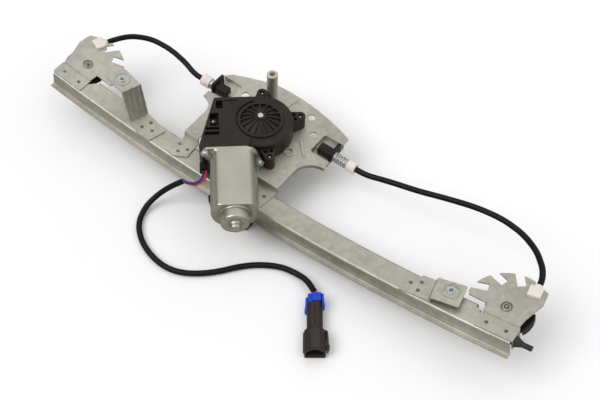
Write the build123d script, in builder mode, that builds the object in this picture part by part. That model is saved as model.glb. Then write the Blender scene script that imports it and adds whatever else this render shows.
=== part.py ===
"""Motor-driven window regulator: a curved guide rail, a worm gear motor on a pressed plate, and a carrier
that two steel cables pull along the rail.

Millimetres, +Z up, X along the rail, +Y from the rail towards the gearbox. The origin is under the middle
of the object, on the surface that it lies on with its carrier. The rail is an arc whose centre is above it.
"""
from build123d import *
from math import atan2, cos, degrees, pi, radians, sin, sqrt, tan
import os

os.makedirs("parts", exist_ok=True)

# Guide rail: a hat section bent along an arc
RAIL_RADIUS = 1365.0
RAIL_LEFT = -260.0
RAIL_RIGHT = 300.0
RAIL_SHEET = 1.2
RAIL_DEPTH = 18.0
WEB_HALF = 12.5
FLANGE_WIDTH = 4.8
WEB_BEND = 2.4
FLANGE_BEND = 2.0
ARC_X = -28.0
RAIL_Y = -33.0

# End brackets, with t measured outwards along the rail and y across it
END_SETBACK = 18.0
BRACKET_SHEET = 1.5
BRACKET_STEP = 1.5
BRACKET_IN = 18.3
BRACKET_NEAR = 10.7
FOLD_Y = 5.9
FAN_RADIUS = 38.8
FAN_SLOTS = 3
FAN_PITCH = 34.0
FAN_FIRST = 88.0
FAN_SLOT_WIDTH = 8.0
FAN_ROOT = 27.0
FAN_HOOK = 38.0
FAN_OUTER = ((19.8, 17.0), (25.3, 37.4), (23.2, 51.1))
FAN_TIP_T = 8.6
FAN_INNER = ((-38.5, 15.8), (-19.3, 15.0))
NOTCH_RADIUS = 24.5
NOTCH_SHOULDER = 8.0
TAB_CLEARANCE = 0.3
TAB_FAR = 4.0
TAB_DROP = 12.0
SPOT_RADIUS = 1.9
SPOT_DEPTH = 0.6
SPOT_PITCH = 20.0
SPOT_Y = -3.0

# End pulleys, and the cable that runs round them
PULLEY_T = -2.0
PULLEY_Y = 20.0
PULLEY_RADIUS = 20.0
PULLEY_THICKNESS = 5.6
PULLEY_TOP = -1.8
CABLE_RADIUS = 0.8
CABLE_WRAP = 18.4
SHANK_RADIUS = 3.0
RUNNING_GAP = 0.05
RIVET_HEAD = 5.6
PULLEY_HUB = 7.0
PULLEY_WEB = 3.2
PULLEY_RIBS = 6
PULLEY_RIB = 1.2
RIVET_RISE = 1.3
RIVET_DISH = 0.3
GUARD_TOP = -3.0
GUARD_BOTTOM = -11.0
GUARD_RADIUS = 25.8
GUARD_WALL = 1.6
GUARD_GAP = 1.0
GUARD_SPAN = (-45.0, 20.0)
LEDGE_SPAN = (-28.0, 20.0)

# Rubber stop in the right end tab
BUMPER_Y = -4.0
BUMPER_DEPTH = -6.0
BUMPER_RADIUS = 4.5
BUMPER_NECK = 2.6
BUMPER_HEAD = 2.5
BUMPER_TAIL = 17.5

# Conduit seats, in the fan's slots, on the line in which the cable leaves each pulley
SEAT_TURN = {"left": 19.0, "right": 8.0}
SEAT_REACH = 24.0
SEAT_LENGTH = 12.0
SEAT_WIDTH = 13.0
SEAT_TOP = 6.5
SEAT_BOTTOM = -3.6
SEAT_LIFT = 0.8
SEAT_COLLAR = 3.0
SEAT_PLAY = 0.1

# Mount brackets beyond the motor, each a bent strip on the rail's top face with a weld nut under its pad
PAD_LIFT = {"left": 42.3, "right": 7.0}
PAD_NUT = {"left": (-39.0, 7.5), "right": (29.3, 8.0)}
PAD_S = {"left": -138.0, "right": 200.0}
PAD_FOLD = {"left": (-16.2, 4.3), "right": (13.5, 3.0)}
PAD_TURN = {"left": -19.0, "right": 12.0}
PAD_LEAN = {"left": 9.0, "right": 2.5}
PAD_OUTLINE = {
    "left": (
        (12, -12.5), (17.8, 8.8), (-8.6, 13.9), (-23, 15.5), (-43.5, 19.5),
        (-52.5, 19), (-59.5, 14.5), (-54, -1), (-30, -5), (-17.6, -6), (-3.4, -12.5),
    ),
    "right": ((-17.2, -12.5), (17, -9), (44.2, -4.5), (39.7, 20), (13.8, 15), (-3.2, 13)),
}
PAD_HALF = 21.0
PAD_SHEET = 1.5
PAD_REACH = 50.0
NUT_RADIUS = 5.0
NUT_BORE = 2.5
NUT_HEIGHT = 5.0
NUT_RING = 8.5

# Motor plate, on the plane that touches the rail's top face at PLATE_S
PLATE_S = -40.0
PLATE_SHEET = 1.5
PLATE_TOP = 10.0
POCKET_DEPTH = 6.0
POCKET_NEAR = 76.0
POCKET_FAR = 103.0
POCKET_LEFT = -51.0
POCKET_RIGHT = 58.5
PLATE_LEFT = -76.5
PLATE_RIGHT = 81.5
RISER_LEFT = (-61.0, -43.0)
RISER_RIGHT = (34.0, 60.7)
RISER_Y = 18.0
FRONT_Y = 27.0
STANDOFF_X = -14.9
STANDOFF_Y = 107.7
STANDOFF_TOP = 50.5
STANDOFF_RADIUS = 5.75
STANDOFF_BORE = 3.0
STANDOFF_FOOT = 4.0
PLATE_ARC = (83.0, 43.6)
PLATE_ARC_RADIUS = 22.0
PLATE_LIP = 4.5
PLATE_CROWN = (36.1, 125.1)
PLATE_SHOULDERS = ((-23.1, 127.6), (-36.5, 123.6), (-52.5, 117.6), (-70.3, 110.2))
PLATE_FAR_RIGHT = 113.1
PLATE_NEAR_RIGHT = 65.6
PLATE_NEAR_LEFT = 66.9
PLATE_WAIST = 53.0
TAB_HALF = 14.0
TAB_S = {"left": -92.0, "right": 7.0}
TAB_OUTLINE = {
    "left": ((-13.5, -9.5), (-3, -11.5), (10.5, -3.5), (9, 18), (-9, 18), (-8.5, 11)),
    "right": ((-13, -9), (10.1, -10.9), (13.2, 11.7), (13.5, 18), (-13, 18)),
}
TAB_SPOTS = {"left": ((-5.9, 5.1), (-1.5, -3.3), (5, 4.2)), "right": ((5.6, 5), (-4.6, 6.6))}
PLATE_HOLES = ((-41.3, 95.2), (33.8, 113.7), (48.8, 95.6))
PLATE_HOLE_RADIUS = 4.0
COLLAR_HOLE = (42.5, 60.8)
COLLAR_RISE = 1.5
BEAD_RISE = 1.0
BEAD_WIDTH = 4.0
BEADS = (((6.8, 124), (4.1, 109)), ((44, 80), (58, 66)), ((-52, 70), (-38, 84)))
DRIVE_OPENING = 21.0
CABLE_SLOT = 2.5

# Worm drive, about the worm's axis: x towards the gear axis, y away from the motor, z off the plate
FACE_W = 41.0
GEAR_X = 3.8
GEAR_Y = 62.8
DRIVE_TURN = 40.0
CENTRE_DISTANCE = 29.7
WORM_HEIGHT = 25.0
GEAR_MODULE = 1.0
GEAR_TEETH = 50
WHEEL_FACE = 7.0
DISC_RADIUS = 34.0
DISC_EDGE = 31.5
RING_RADIUS = 23.5
RING_TOP = 33.5
HUB_RADIUS = 5.5
HUB_TOP = 40.0
DOME_SINK = 2.6
SPOKES = 16
SPOKE_WIDTH = 1.3
HOUSING_TOP = 33.5
HOUSING_WALL = 2.6
LUG_RADIUS = 5.4
LUG_REACH = 43.0
LUG_TOP = 26.0
LUG_ROOT = (28.0, 9.5)
LUG_POCKET = ((35.5, 1.0), (35.5, 6.0), (39.0, 3.6), (38.0, 1.0))
LUG_POCKET_DEPTH = 7.0
LUG_ANGLES = (85.0, 12.5, -80.0)
LUG_SCREW = 2.4
AXLE_RADIUS = 3.0
BODY_OUTLINE = (
    (-17.5, 31), (-34, 8 - FACE_W), (-31, -FACE_W), (16, -FACE_W), (18, 10 - FACE_W), (24, 31),
)
BODY_ROUND = 2.5
RECESS_DEPTH = 8.0
RECESSES = (
    (-12.2, 21.5, 7.0, 11.0), (-17.8, 1.5, 9.0, 17.0), (-19.6, -10.3, 14.0, 3.6), (-20.3, -16.5, 15.2, 4.4),
)
RECESS_BOSS = (-18.9, -1.3, 3.0)
SHELF = (-0.5, 25.3, 13.0, 4.6, 1.0)
BASE_SHEET = 2.0
BASE_RADIUS = 28.0
WHEEL_ROOT = 23.7
WHEEL_TIP = 26.0
WHEEL_WEB = 3.0
SIDE_GAP = 0.3
HUB_LOW = 14.0
BASE_GAP = 0.3
WHEEL_CAVITY = 26.8
TOOTH_HALF = (0.85, 0.35)
WHEEL_HUB = 8.0
BUSH_REACH = 15.0
BUSH_RADIUS = 5.0
DAMPERS = 3
WORM_CORE = 3.6
WORM_CREST = 2.1
WORM_LENGTH = 5
WORM_TOOTH = (1.1, 0.45)
WORM_BORE = 6.6
WORM_BUSH = (5.0, 5.0)
SHAFT_BACK = -24.0

# Motor, along the worm's axis from the gear axis
CAN_END = FACE_W + 71.0
CAN_RADIUS = 23.5
CAN_FLAT = 17.5
CAN_WALL = 1.5
BOSS_END = FACE_W + 83.0
BOSS_RADIUS = 14.5
NUB_END = FACE_W + 89.0
NUB_RADIUS = 6.0
SHAFT_RADIUS = 2.5
CORE_RADIUS = 14.0
CORE_START = FACE_W + 21.0
CORE_END = FACE_W + 57.0
SCREW_AT = ((-27.6, 10.5), (26.9, -8.2))
SCREW_RADIUS = 2.0
SCREW_HEAD = 3.5
FLANGE_SHEET = 2.5
FLANGE_OUTLINE = ((-28, 17.5), (16, 17.5), (30.4, -5), (29, -12), (-16, -17.5), (-32, 8))
EAR_LENGTH = 5.0
EAR_LOW = -13.5
ARMATURE_SLOTS = 10
COMMUTATOR_RADIUS = 6.5
COMMUTATOR = (FACE_W + 7.0, FACE_W + 16.0)
MAGNET_INNER = 15.0
CAN_ROUND = 4.0
BEARING = (CAN_END, CAN_END + 9.0)
BEARING_RADIUS = 8.0
SCREW_DEPTH = 10.0
LUG_HEAD = 4.5
MAGNET_SPAN = 40.0
BRUSH_LENGTH = 7.0
BRUSH_WIDTH = 4.0
HOLDER = (FACE_W + 3.0, FACE_W + 6.0)
SOCKET_AT = (-29.0, -12.0)
SOCKET_SIZE = (10.0, 10.0, 8.0)

# Cable drum and the cables' level on the plate
DRUM_RADIUS = 23.7
DRUM_FLANGE = 26.0
DRUM_LOW = 1.6
DRUM_HIGH = 8.2
DRUM_CUP_RADIUS = 28.5
DRUM_CUP_WALL = 1.5
DRUM_GROOVES = (3.4, 5.8)
DRUM_LEAD = 13.5
CUP_FLOOR = -1.5
CUP_HOLES = 6
WRAP_ARC = 350.0

# Carrier, which slides along the rail's flanges
CARRIER_S = -15.0
CARRIER_HALF = 25.0
SHOE_GAP = 0.3
SHOE_WALL = 3.0
CARRIER_SHEET = 2.0
CARRIER_FAR = 27.0
CARRIER_NEAR = -22.0
CHANNEL_GAP = 1.5
KEEL_TOP = -2.7
SHOE_LOW = 5.7
LIP_RISE = 2.5
CABLE_GROOVE = 2.4
NIPPLE_AT = 14.0
NIPPLE_LENGTH = 8.0
NIPPLE_RADIUS = 2.2
PAD_THICKNESS = 8.1
PAD_TILT = 0.2
CARRIER_BOLTS = ((-16.5, -12.0), (16.5, -12.0), (0.0, 12.0))
CARRIER_BOLT_RADIUS = 3.0
CARRIER_BOLT_HEAD = 5.5
CARRIER_BOLT_FLOOR = 1.5
CARRIER_ROUND = 3.0
PAD_GROOVES = 3
PAD_INSET = 1.0
GLASS_HOLE = (0.0, -12.5)
GLASS_BORE = 3.2

# Adjusters at the plate's pockets, given at x and measured on the plate
ADJUST_LEVEL = 8.0
ADJUST_RADIUS = 3.2
CAP_RADIUS = 6.5
SPRING_RADIUS = 4.8
CAP_OUT = {"left": -93.0, "right": 109.0}
CAP_IN = {"left": -81.5, "right": 99.0}
CLIP_THICK = 3.0
CLIP_TOP = 16.0
CLIP_NEAR = 80.0
CLIP_FAR = 99.0
CLIP_STEM = 15.0
CLIP_STEM_WIDTH = 10.0
CLIP_STEM_TOP = 13.0
SPRING_COUNT = {"left": 3, "right": 8}
CAP_SOCKET = 8.0
CAP_ROUND = 1.2
CLIP_BORE = 2.0
SPRING_WIRE = 0.9

# Conduits and harness
CONDUIT_RADIUS = 3.0
CONDUIT_BORE = 1.1
CONDUIT_LEAD = 9.5
ROUTE_SHARE = 0.45
CONDUIT_ROUTE = {
    "left": ((-258, 48.5, 57.0), (-239, 60.0, 54.4), (-213, 62.5, 51.3), (-188, 58.0, 48.8)),
    "right": (
        (80, 57.4, 44.6),
        (109, 61.5, 48.2),
        (140, 69.0, 51.6),
        (170, 74.6, 55.0),
        (198, 75.2, 58.2),
        (223, 69.3, 61.0),
        (243, 57.6, 63.6),
        (256.5, 42.5, 65.8),
    ),
}
ADJUST_LEAD = 12.0
WIRE_RADIUS = 1.3
SHEATH_RADIUS = 3.0
SHEATH_ROUTE = (
    (-94.5, -61.5, 34),
    (-104, -67, 26),
    (-116, -79, 13),
    (-121, -96, 3.6),
    (-111, -118, 3.2),
    (-84, -135, 3.2),
    (-48, -139, 3.2),
    (-17, -119, 3.2),
    (8, -86, 3.2),
    (34, -69, 3.4),
    (55, -66.5, 5.0),
    (70, -68.5, 7.6),
    (81.2, -75.0, 9.0),
)
WIRE_SPREAD = 2.9
WIRE_GAP = 0.8
WIRE_LEAD = 8.0
WIRE_ROUTE = ((-73.6, -59.2, 45.3), (-80.0, -63.8, 42.0))
CONNECTOR_AT = (87.0, -82.0)
CONNECTOR_TURN = -54.0
LOCK_LENGTH = 10.0
LOCK_WIDTH = 18.0
LOCK_HEIGHT = 13.0
BODY_LENGTH = 30.0
BODY_WIDTH = 15.5
BODY_HEIGHT = 15.0
SHROUD_LENGTH = 24.0
SHROUD_WIDTH = 20.5
SHROUD_HEIGHT = 18.0
SHROUD_WALL = 1.6
CONNECTOR_LIFT = 0.1
TERMINAL_PITCH = 7.0
TERMINAL_WIDTH = 2.8
TERMINAL_THICK = 0.8

RAIL_HEIGHT = RAIL_DEPTH + SHOE_LOW + CARRIER_SHEET + PAD_THICKNESS + PAD_TILT
CABLE_Y = PULLEY_Y - CABLE_WRAP
CABLE_DEPTH = PULLEY_TOP - PULLEY_THICKNESS / 2
WORM_X = GEAR_X - CENTRE_DISTANCE * cos(radians(DRIVE_TURN))
WORM_Y = GEAR_Y - CENTRE_DISTANCE * sin(radians(DRIVE_TURN))
BRACKET_S = {"left": RAIL_LEFT + END_SETBACK, "right": RAIL_RIGHT - END_SETBACK}
SIDE = {"left": -1, "right": 1}
RAIL_AXIS = Axis((ARC_X, RAIL_Y, RAIL_HEIGHT + RAIL_RADIUS), (0, -1, 0))
PLATE_LOW = PLATE_TOP - PLATE_SHEET
WHEEL_TOP = WORM_HEIGHT + WHEEL_FACE / 2


def rail_plane(s, lift=0.0):
    """Plane touching the rail's top face at arc distance s, raised by lift: x along the rail, z off it."""
    turn = s / RAIL_RADIUS
    reach = RAIL_RADIUS - lift
    origin = (ARC_X + reach * sin(turn), RAIL_Y, RAIL_HEIGHT + RAIL_RADIUS - reach * cos(turn))
    return Plane(origin=origin, x_dir=(cos(turn), 0, sin(turn)), z_dir=(-sin(turn), 0, cos(turn)))


def rail_section(s):
    """Plane square to the rail at arc distance s: x across the rail, y off its top face."""
    flat = rail_plane(s)
    return Plane(origin=flat.origin, x_dir=flat.y_dir, z_dir=flat.x_dir)


def seat_lift(half_length):
    """How far a flat foot of this half length stands off the middle of the curved top face."""
    return half_length**2 / (2 * RAIL_RADIUS)


def arc_degrees(length):
    """Angle at the arc's centre that a length along the rail's top face takes."""
    return degrees(length / RAIL_RADIUS)


def plate_frame(x, y, height, turn=0.0):
    """Plane parallel to the motor plate, at a point of it and a height over the rail's top face."""
    return Plane(rail_plane(PLATE_S, height).location * Location((x, y, 0), (0, 0, turn)))


def bracket_plane(end, t, y, lift, turn=0.0):
    """Plane parallel to an end bracket's foot, at (t, y) of it, turned from the rail's far side inwards."""
    side = SIDE[end]
    return Plane(rail_plane(BRACKET_S[end], lift).location * Location((side * t, y, 0), (0, 0, side * turn)))


def seat_plane(end, along, lift):
    """Plane on the line in which the cable leaves an end pulley; its y runs outwards along that line."""
    turn = SEAT_TURN[end]
    tangent = polar(CABLE_WRAP, turn, (PULLEY_T, PULLEY_Y))
    place = polar(along, turn + 90, tangent)
    return bracket_plane(end, place[0], place[1], lift, turn)


def drive_plane(height, x=0.0):
    """Plane of the worm drive at a height, its origin x along the line from the worm to the gear axis."""
    along = (WORM_X + x * cos(radians(DRIVE_TURN)), WORM_Y + x * sin(radians(DRIVE_TURN)))
    return plate_frame(along[0], along[1], height, DRIVE_TURN)


def motor_plane(along):
    """Plane square to the motor's axis, at a distance from the gear axis: x across, y off the plate."""
    drive = drive_plane(WORM_HEIGHT)
    return Plane(origin=drive.from_local_coords((0, -along, 0)), x_dir=drive.x_dir, z_dir=-drive.y_dir)


def polar(radius, angle, centre=(0, 0)):
    """Point at a radius and an angle in degrees about a centre."""
    return (centre[0] + radius * cos(radians(angle)), centre[1] + radius * sin(radians(angle)))


def keep(piece, label):
    """Names a finished piece and writes it to its file."""
    piece.part.label = label
    export_step(piece.part, "parts/" + label + ".step")


def turned(base, outline, mode=Mode.ADD):
    """Adds or cuts a solid of revolution about a plane's z axis, its outline as (radius, height) points."""
    with BuildSketch(Plane(origin=base.origin, x_dir=base.x_dir, z_dir=-base.y_dir)) as profile:
        with BuildLine():
            Polyline(*outline, close=True)
        make_face()
    revolve(profile.sketch, axis=Axis(base.origin, base.z_dir), mode=mode)


def sector(end, radius, span):
    """Adds a pie slice between two angles, measured from outwards along the rail towards its far side."""
    angles = [angle if end == "right" else 180 - angle for angle in (span[0], sum(span) / 2, span[1])]
    with BuildLine() as edge:
        Line((0, 0), polar(radius, angles[0]))
        ThreePointArc(*[polar(radius, angle) for angle in angles])
        Line(polar(radius, angles[2]), (0, 0))
    make_face(edge.edges())


# Guide rail: the hat section, with the far wall and the edge of the top face cut away round each pulley
with BuildPart() as guide_rail:
    with BuildSketch(rail_section(RAIL_LEFT)) as hat:
        with BuildLine():
            Polyline(
                (-WEB_HALF - FLANGE_WIDTH, -RAIL_DEPTH),
                (-WEB_HALF - FLANGE_WIDTH, RAIL_SHEET - RAIL_DEPTH),
                (-WEB_HALF, RAIL_SHEET - RAIL_DEPTH),
                (-WEB_HALF, 0),
                (WEB_HALF, 0),
                (WEB_HALF, RAIL_SHEET - RAIL_DEPTH),
                (WEB_HALF + FLANGE_WIDTH, RAIL_SHEET - RAIL_DEPTH),
                (WEB_HALF + FLANGE_WIDTH, -RAIL_DEPTH),
                (WEB_HALF - RAIL_SHEET, -RAIL_DEPTH),
                (WEB_HALF - RAIL_SHEET, -RAIL_SHEET),
                (RAIL_SHEET - WEB_HALF, -RAIL_SHEET),
                (RAIL_SHEET - WEB_HALF, -RAIL_DEPTH),
                close=True,
            )
        make_face()
        inner_bends = hat.vertices().filter_by(lambda v: abs(v.Y + RAIL_SHEET) < 0.01)
        fillet(inner_bends, WEB_BEND - RAIL_SHEET)
        fillet(hat.vertices().group_by(Axis.Y)[-1], WEB_BEND)
        lip_bends = hat.vertices().filter_by(lambda v: abs(abs(v.X) - WEB_HALF + RAIL_SHEET) < 0.01)
        fillet(lip_bends.group_by(Axis.Y)[0], FLANGE_BEND)
        flange_roots = hat.vertices().filter_by(lambda v: abs(abs(v.X) - WEB_HALF) < 0.01)
        fillet(flange_roots.group_by(Axis.Y)[0], FLANGE_BEND - RAIL_SHEET)
    revolve(axis=RAIL_AXIS, revolution_arc=arc_degrees(RAIL_RIGHT - RAIL_LEFT))
    for end in BRACKET_S:
        side = SIDE[end]
        with BuildSketch(rail_plane(BRACKET_S[end], 2 * RAIL_SHEET)):
            with Locations((side * PULLEY_T, PULLEY_Y)):
                Circle(NOTCH_RADIUS)
            with Locations((side * PULLEY_T, NOTCH_SHOULDER)):
                Rectangle(2 * NOTCH_RADIUS, 2 * NOTCH_RADIUS, align=(Align.CENTER, Align.MIN))
            with Locations((side * PULLEY_T, FOLD_Y)):
                Rectangle(
                    END_SETBACK * 2,
                    PULLEY_Y,
                    align=(Align.MIN if side > 0 else Align.MAX, Align.MIN),
                )
        extrude(amount=-RAIL_DEPTH - 4 * RAIL_SHEET, mode=Mode.SUBTRACT)
keep(guide_rail, "guide_rail")


# End brackets: a foot on the rail's top face, a fan of hooked slots over the pulley, and a folded end tab
def end_bracket(end):
    """Pressed bracket that carries an end pulley and holds the seat of a conduit in a slot of its fan."""
    side = SIDE[end]
    base = rail_plane(BRACKET_S[end], seat_lift(BRACKET_IN))
    pulley = (side * PULLEY_T, PULLEY_Y)
    fan_outer = [(side * t, y) for t, y in FAN_OUTER]
    fan_inner = [(side * t, y) for t, y in FAN_INNER]
    tab_out = END_SETBACK + TAB_CLEARANCE
    with BuildPart() as bracket:
        with BuildSketch(base):
            with BuildLine():
                Polyline(
                    (-side * BRACKET_IN, -BRACKET_NEAR),
                    (side * tab_out, -BRACKET_NEAR),
                    (side * (tab_out + BRACKET_SHEET), -BRACKET_NEAR + BRACKET_SHEET),
                    (side * (tab_out + BRACKET_SHEET), TAB_FAR),
                    (side * BRACKET_IN, FOLD_Y + BRACKET_STEP),
                    (-side * BRACKET_IN, FOLD_Y + BRACKET_STEP),
                    close=True,
                )
            make_face()
        extrude(amount=BRACKET_SHEET)
        with BuildSketch(base.offset(BRACKET_STEP)) as fan:
            with BuildLine():
                tip_rise = sqrt(FAN_RADIUS**2 - (FAN_TIP_T - PULLEY_T) ** 2)
                outer_tip = (side * FAN_TIP_T, PULLEY_Y + tip_rise)
                inner_tip = (pulley[0] - side * FAN_RADIUS, PULLEY_Y)
                crown = polar(FAN_RADIUS, 90 + side * FAN_PITCH, pulley)
                Polyline((side * BRACKET_IN, FOLD_Y), *fan_outer, outer_tip)
                ThreePointArc(outer_tip, crown, inner_tip)
                Polyline(inner_tip, *fan_inner, (-side * BRACKET_IN, FOLD_Y), (side * BRACKET_IN, FOLD_Y))
            make_face()
            for step in range(FAN_SLOTS):
                angle = FAN_FIRST + step * FAN_PITCH
                root = polar(FAN_ROOT, angle, (PULLEY_T, PULLEY_Y))
                heading = angle + FAN_HOOK
                with Locations((side * root[0], root[1])):
                    Rectangle(
                        FAN_RADIUS,
                        FAN_SLOT_WIDTH,
                        rotation=heading if side > 0 else 180 - heading,
                        align=(Align.MIN, Align.CENTER),
                        mode=Mode.SUBTRACT,
                    )
            with Locations(pulley):
                Circle(SHANK_RADIUS, mode=Mode.SUBTRACT)
        extrude(amount=BRACKET_SHEET)
        with BuildSketch(base):
            with Locations((0, FOLD_Y)):
                Rectangle(2 * BRACKET_IN, BRACKET_STEP, align=(Align.CENTER, Align.MIN))
        extrude(amount=BRACKET_STEP + BRACKET_SHEET)
        with BuildSketch(base):
            with Locations((side * (tab_out + BRACKET_SHEET / 2), (TAB_FAR - BRACKET_NEAR + BRACKET_SHEET) / 2)):
                Rectangle(BRACKET_SHEET, TAB_FAR + BRACKET_NEAR - BRACKET_SHEET)
        extrude(amount=-TAB_DROP)
        stop = bracket_plane(end, tab_out, BUMPER_Y, BUMPER_DEPTH)
        with BuildSketch(Plane(origin=stop.origin, x_dir=stop.y_dir, z_dir=stop.x_dir)):
            Circle(BUMPER_NECK)
        extrude(amount=BRACKET_SHEET * 2, both=True, mode=Mode.SUBTRACT)
        with BuildSketch(base.offset(BRACKET_SHEET)):
            with Locations((SPOT_PITCH / 2, SPOT_Y), (-SPOT_PITCH / 2, SPOT_Y)):
                Circle(SPOT_RADIUS)
        extrude(amount=-SPOT_DEPTH, mode=Mode.SUBTRACT)
        with BuildSketch(seat_plane(end, SEAT_REACH - SEAT_LENGTH / 2, 0)):
            Rectangle(FAN_SLOT_WIDTH, FAN_RADIUS, align=(Align.CENTER, Align.MIN))
        extrude(amount=2 * (BRACKET_STEP + BRACKET_SHEET), mode=Mode.SUBTRACT)
    keep(bracket, end + "_end_bracket")


for end in BRACKET_S:
    end_bracket(end)


# End pulleys: a grooved wheel with ribs in its two hollows, on a shouldered rivet, with a guard round the cable
def end_pulley(end):
    """Moulded pulley on its rivet."""
    axis_plane = bracket_plane(end, PULLEY_T, PULLEY_Y, PULLEY_TOP - PULLEY_THICKNESS / 2)
    half = PULLEY_THICKNESS / 2
    bed = CABLE_WRAP - CABLE_RADIUS - RUNNING_GAP
    rim = PULLEY_RADIUS - 2 * CABLE_RADIUS - PULLEY_HUB / 4
    with BuildPart() as pulley:
        profile_plane = Plane(origin=axis_plane.origin, x_dir=axis_plane.x_dir, z_dir=-axis_plane.y_dir)
        with BuildSketch(profile_plane):
            with BuildLine():
                Polyline(
                    (SHANK_RADIUS + RUNNING_GAP, -half),
                    (PULLEY_HUB, -half),
                    (PULLEY_HUB, -PULLEY_WEB / 2),
                    (rim, -PULLEY_WEB / 2),
                    (rim, -half),
                    (PULLEY_RADIUS, -half),
                    (PULLEY_RADIUS, -2 * CABLE_RADIUS),
                    (bed, -CABLE_RADIUS),
                    (bed, CABLE_RADIUS),
                    (PULLEY_RADIUS, 2 * CABLE_RADIUS),
                    (PULLEY_RADIUS, half),
                    (rim, half),
                    (rim, PULLEY_WEB / 2),
                    (PULLEY_HUB, PULLEY_WEB / 2),
                    (PULLEY_HUB, half),
                    (SHANK_RADIUS + RUNNING_GAP, half),
                    close=True,
                )
            make_face()
        revolve(axis=Axis(axis_plane.origin, axis_plane.z_dir))
        with BuildSketch(axis_plane):
            with PolarLocations((PULLEY_HUB + rim) / 2, PULLEY_RIBS):
                Rectangle(rim - PULLEY_HUB + 1, PULLEY_RIB)
        extrude(amount=half - RUNNING_GAP, both=True)
    keep(pulley, end + "_pulley")


def cable_guard(end):
    """Moulded guard: a hub clamped under the pulley, a floor and a wall that keep the cable in its groove."""
    inner = PULLEY_RADIUS + GUARD_GAP
    with BuildPart() as guard:
        with BuildSketch(bracket_plane(end, PULLEY_T, PULLEY_Y, GUARD_BOTTOM)):
            sector(end, inner + GUARD_WALL, GUARD_SPAN)
            Circle(RIVET_HEAD + GUARD_WALL)
        extrude(amount=GUARD_WALL)
        with BuildSketch(bracket_plane(end, PULLEY_T, PULLEY_Y, GUARD_BOTTOM)):
            Circle(RIVET_HEAD)
        extrude(amount=PULLEY_TOP - PULLEY_THICKNESS - RUNNING_GAP - GUARD_BOTTOM)
        with BuildSketch(bracket_plane(end, PULLEY_T, PULLEY_Y, GUARD_BOTTOM)):
            sector(end, inner + GUARD_WALL, GUARD_SPAN)
            Circle(inner, mode=Mode.SUBTRACT)
        extrude(amount=GUARD_TOP - GUARD_BOTTOM)
        with BuildSketch(bracket_plane(end, PULLEY_T, PULLEY_Y, GUARD_TOP - GUARD_WALL)):
            sector(end, GUARD_RADIUS, LEDGE_SPAN)
            Circle(inner, mode=Mode.SUBTRACT)
        extrude(amount=GUARD_WALL)
        with BuildSketch(bracket_plane(end, PULLEY_T, PULLEY_Y, GUARD_BOTTOM)):
            sector(end, GUARD_RADIUS, LEDGE_SPAN)
            Circle(GUARD_RADIUS - GUARD_WALL, mode=Mode.SUBTRACT)
        extrude(amount=GUARD_TOP - GUARD_BOTTOM)
        with BuildSketch(bracket_plane(end, PULLEY_T, PULLEY_Y, GUARD_BOTTOM)):
            Circle(SHANK_RADIUS)
        extrude(amount=GUARD_TOP - GUARD_BOTTOM, mode=Mode.SUBTRACT)
    keep(guard, end + "_cable_guard")


with BuildPart() as pulley_rivets:
    for end in BRACKET_S:
        fan_top = BRACKET_STEP + BRACKET_SHEET + seat_lift(BRACKET_IN)
        turned(
            bracket_plane(end, PULLEY_T, PULLEY_Y, 0),
            (
                (0, fan_top + RIVET_DISH),
                (SHANK_RADIUS / 2, fan_top + RIVET_DISH),
                (SHANK_RADIUS, fan_top + RIVET_RISE),
                (RIVET_HEAD - RIVET_RISE / 2, fan_top + RIVET_RISE),
                (RIVET_HEAD, fan_top),
                (SHANK_RADIUS, fan_top),
                (SHANK_RADIUS, fan_top - BRACKET_SHEET),
                (RIVET_HEAD - RIVET_RISE, fan_top - BRACKET_SHEET),
                (RIVET_HEAD - RIVET_RISE, PULLEY_TOP + RUNNING_GAP),
                (SHANK_RADIUS, PULLEY_TOP + RUNNING_GAP),
                (SHANK_RADIUS, GUARD_BOTTOM),
                (RIVET_HEAD - RIVET_RISE, GUARD_BOTTOM),
                (SHANK_RADIUS, GUARD_BOTTOM - RIVET_RISE),
                (0, GUARD_BOTTOM - RIVET_RISE),
            ),
        )
keep(pulley_rivets, "pulley_rivets")

for end in BRACKET_S:
    end_pulley(end)
    cable_guard(end)


# Conduit seats: a block that straddles the fan's slot, with a collar round the end of the conduit
def conduit_seat(end):
    """Moulded seat in the slot of an end bracket."""
    fan_low = BRACKET_STEP + seat_lift(BRACKET_IN)
    start = SEAT_REACH - SEAT_LENGTH / 2
    with BuildPart() as seat:
        with BuildSketch(seat_plane(end, start, SEAT_BOTTOM)) as block:
            Rectangle(SEAT_WIDTH, SEAT_LENGTH, align=(Align.CENTER, Align.MIN))
            fillet(block.vertices(), 1.2)
        extrude(amount=SEAT_TOP - SEAT_BOTTOM)
        seat_start = seat_plane(end, start, SEAT_LIFT)
        fillet(seat.edges().group_by(Axis(seat_start.origin, seat_start.z_dir))[-1], 1.0)
        across = Plane(origin=seat_start.origin, x_dir=seat_start.x_dir, z_dir=seat_start.y_dir)
        with BuildSketch(across.offset(SEAT_LENGTH)):
            Circle(CONDUIT_RADIUS + SEAT_COLLAR / 2)
        extrude(amount=SEAT_COLLAR)
        with BuildSketch(across.offset(SEAT_LENGTH / 3)):
            Circle(CONDUIT_RADIUS)
        extrude(amount=SEAT_LENGTH, mode=Mode.SUBTRACT)
        with BuildSketch(across):
            Circle(CONDUIT_BORE)
            Rectangle(2 * CONDUIT_BORE, 2 * SEAT_TOP, align=(Align.CENTER, Align.MIN))
        extrude(amount=SEAT_LENGTH, mode=Mode.SUBTRACT)
        with BuildSketch(seat_plane(end, start, fan_low)):
            with Locations((0, SEAT_LENGTH / 2)):
                Rectangle(2 * SEAT_WIDTH, 2 * SEAT_LENGTH)
                Rectangle(FAN_SLOT_WIDTH - 2 * SEAT_PLAY, 2 * SEAT_LENGTH, mode=Mode.SUBTRACT)
        extrude(amount=BRACKET_SHEET, mode=Mode.SUBTRACT)
    keep(seat, end + "_conduit_seat")


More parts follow.
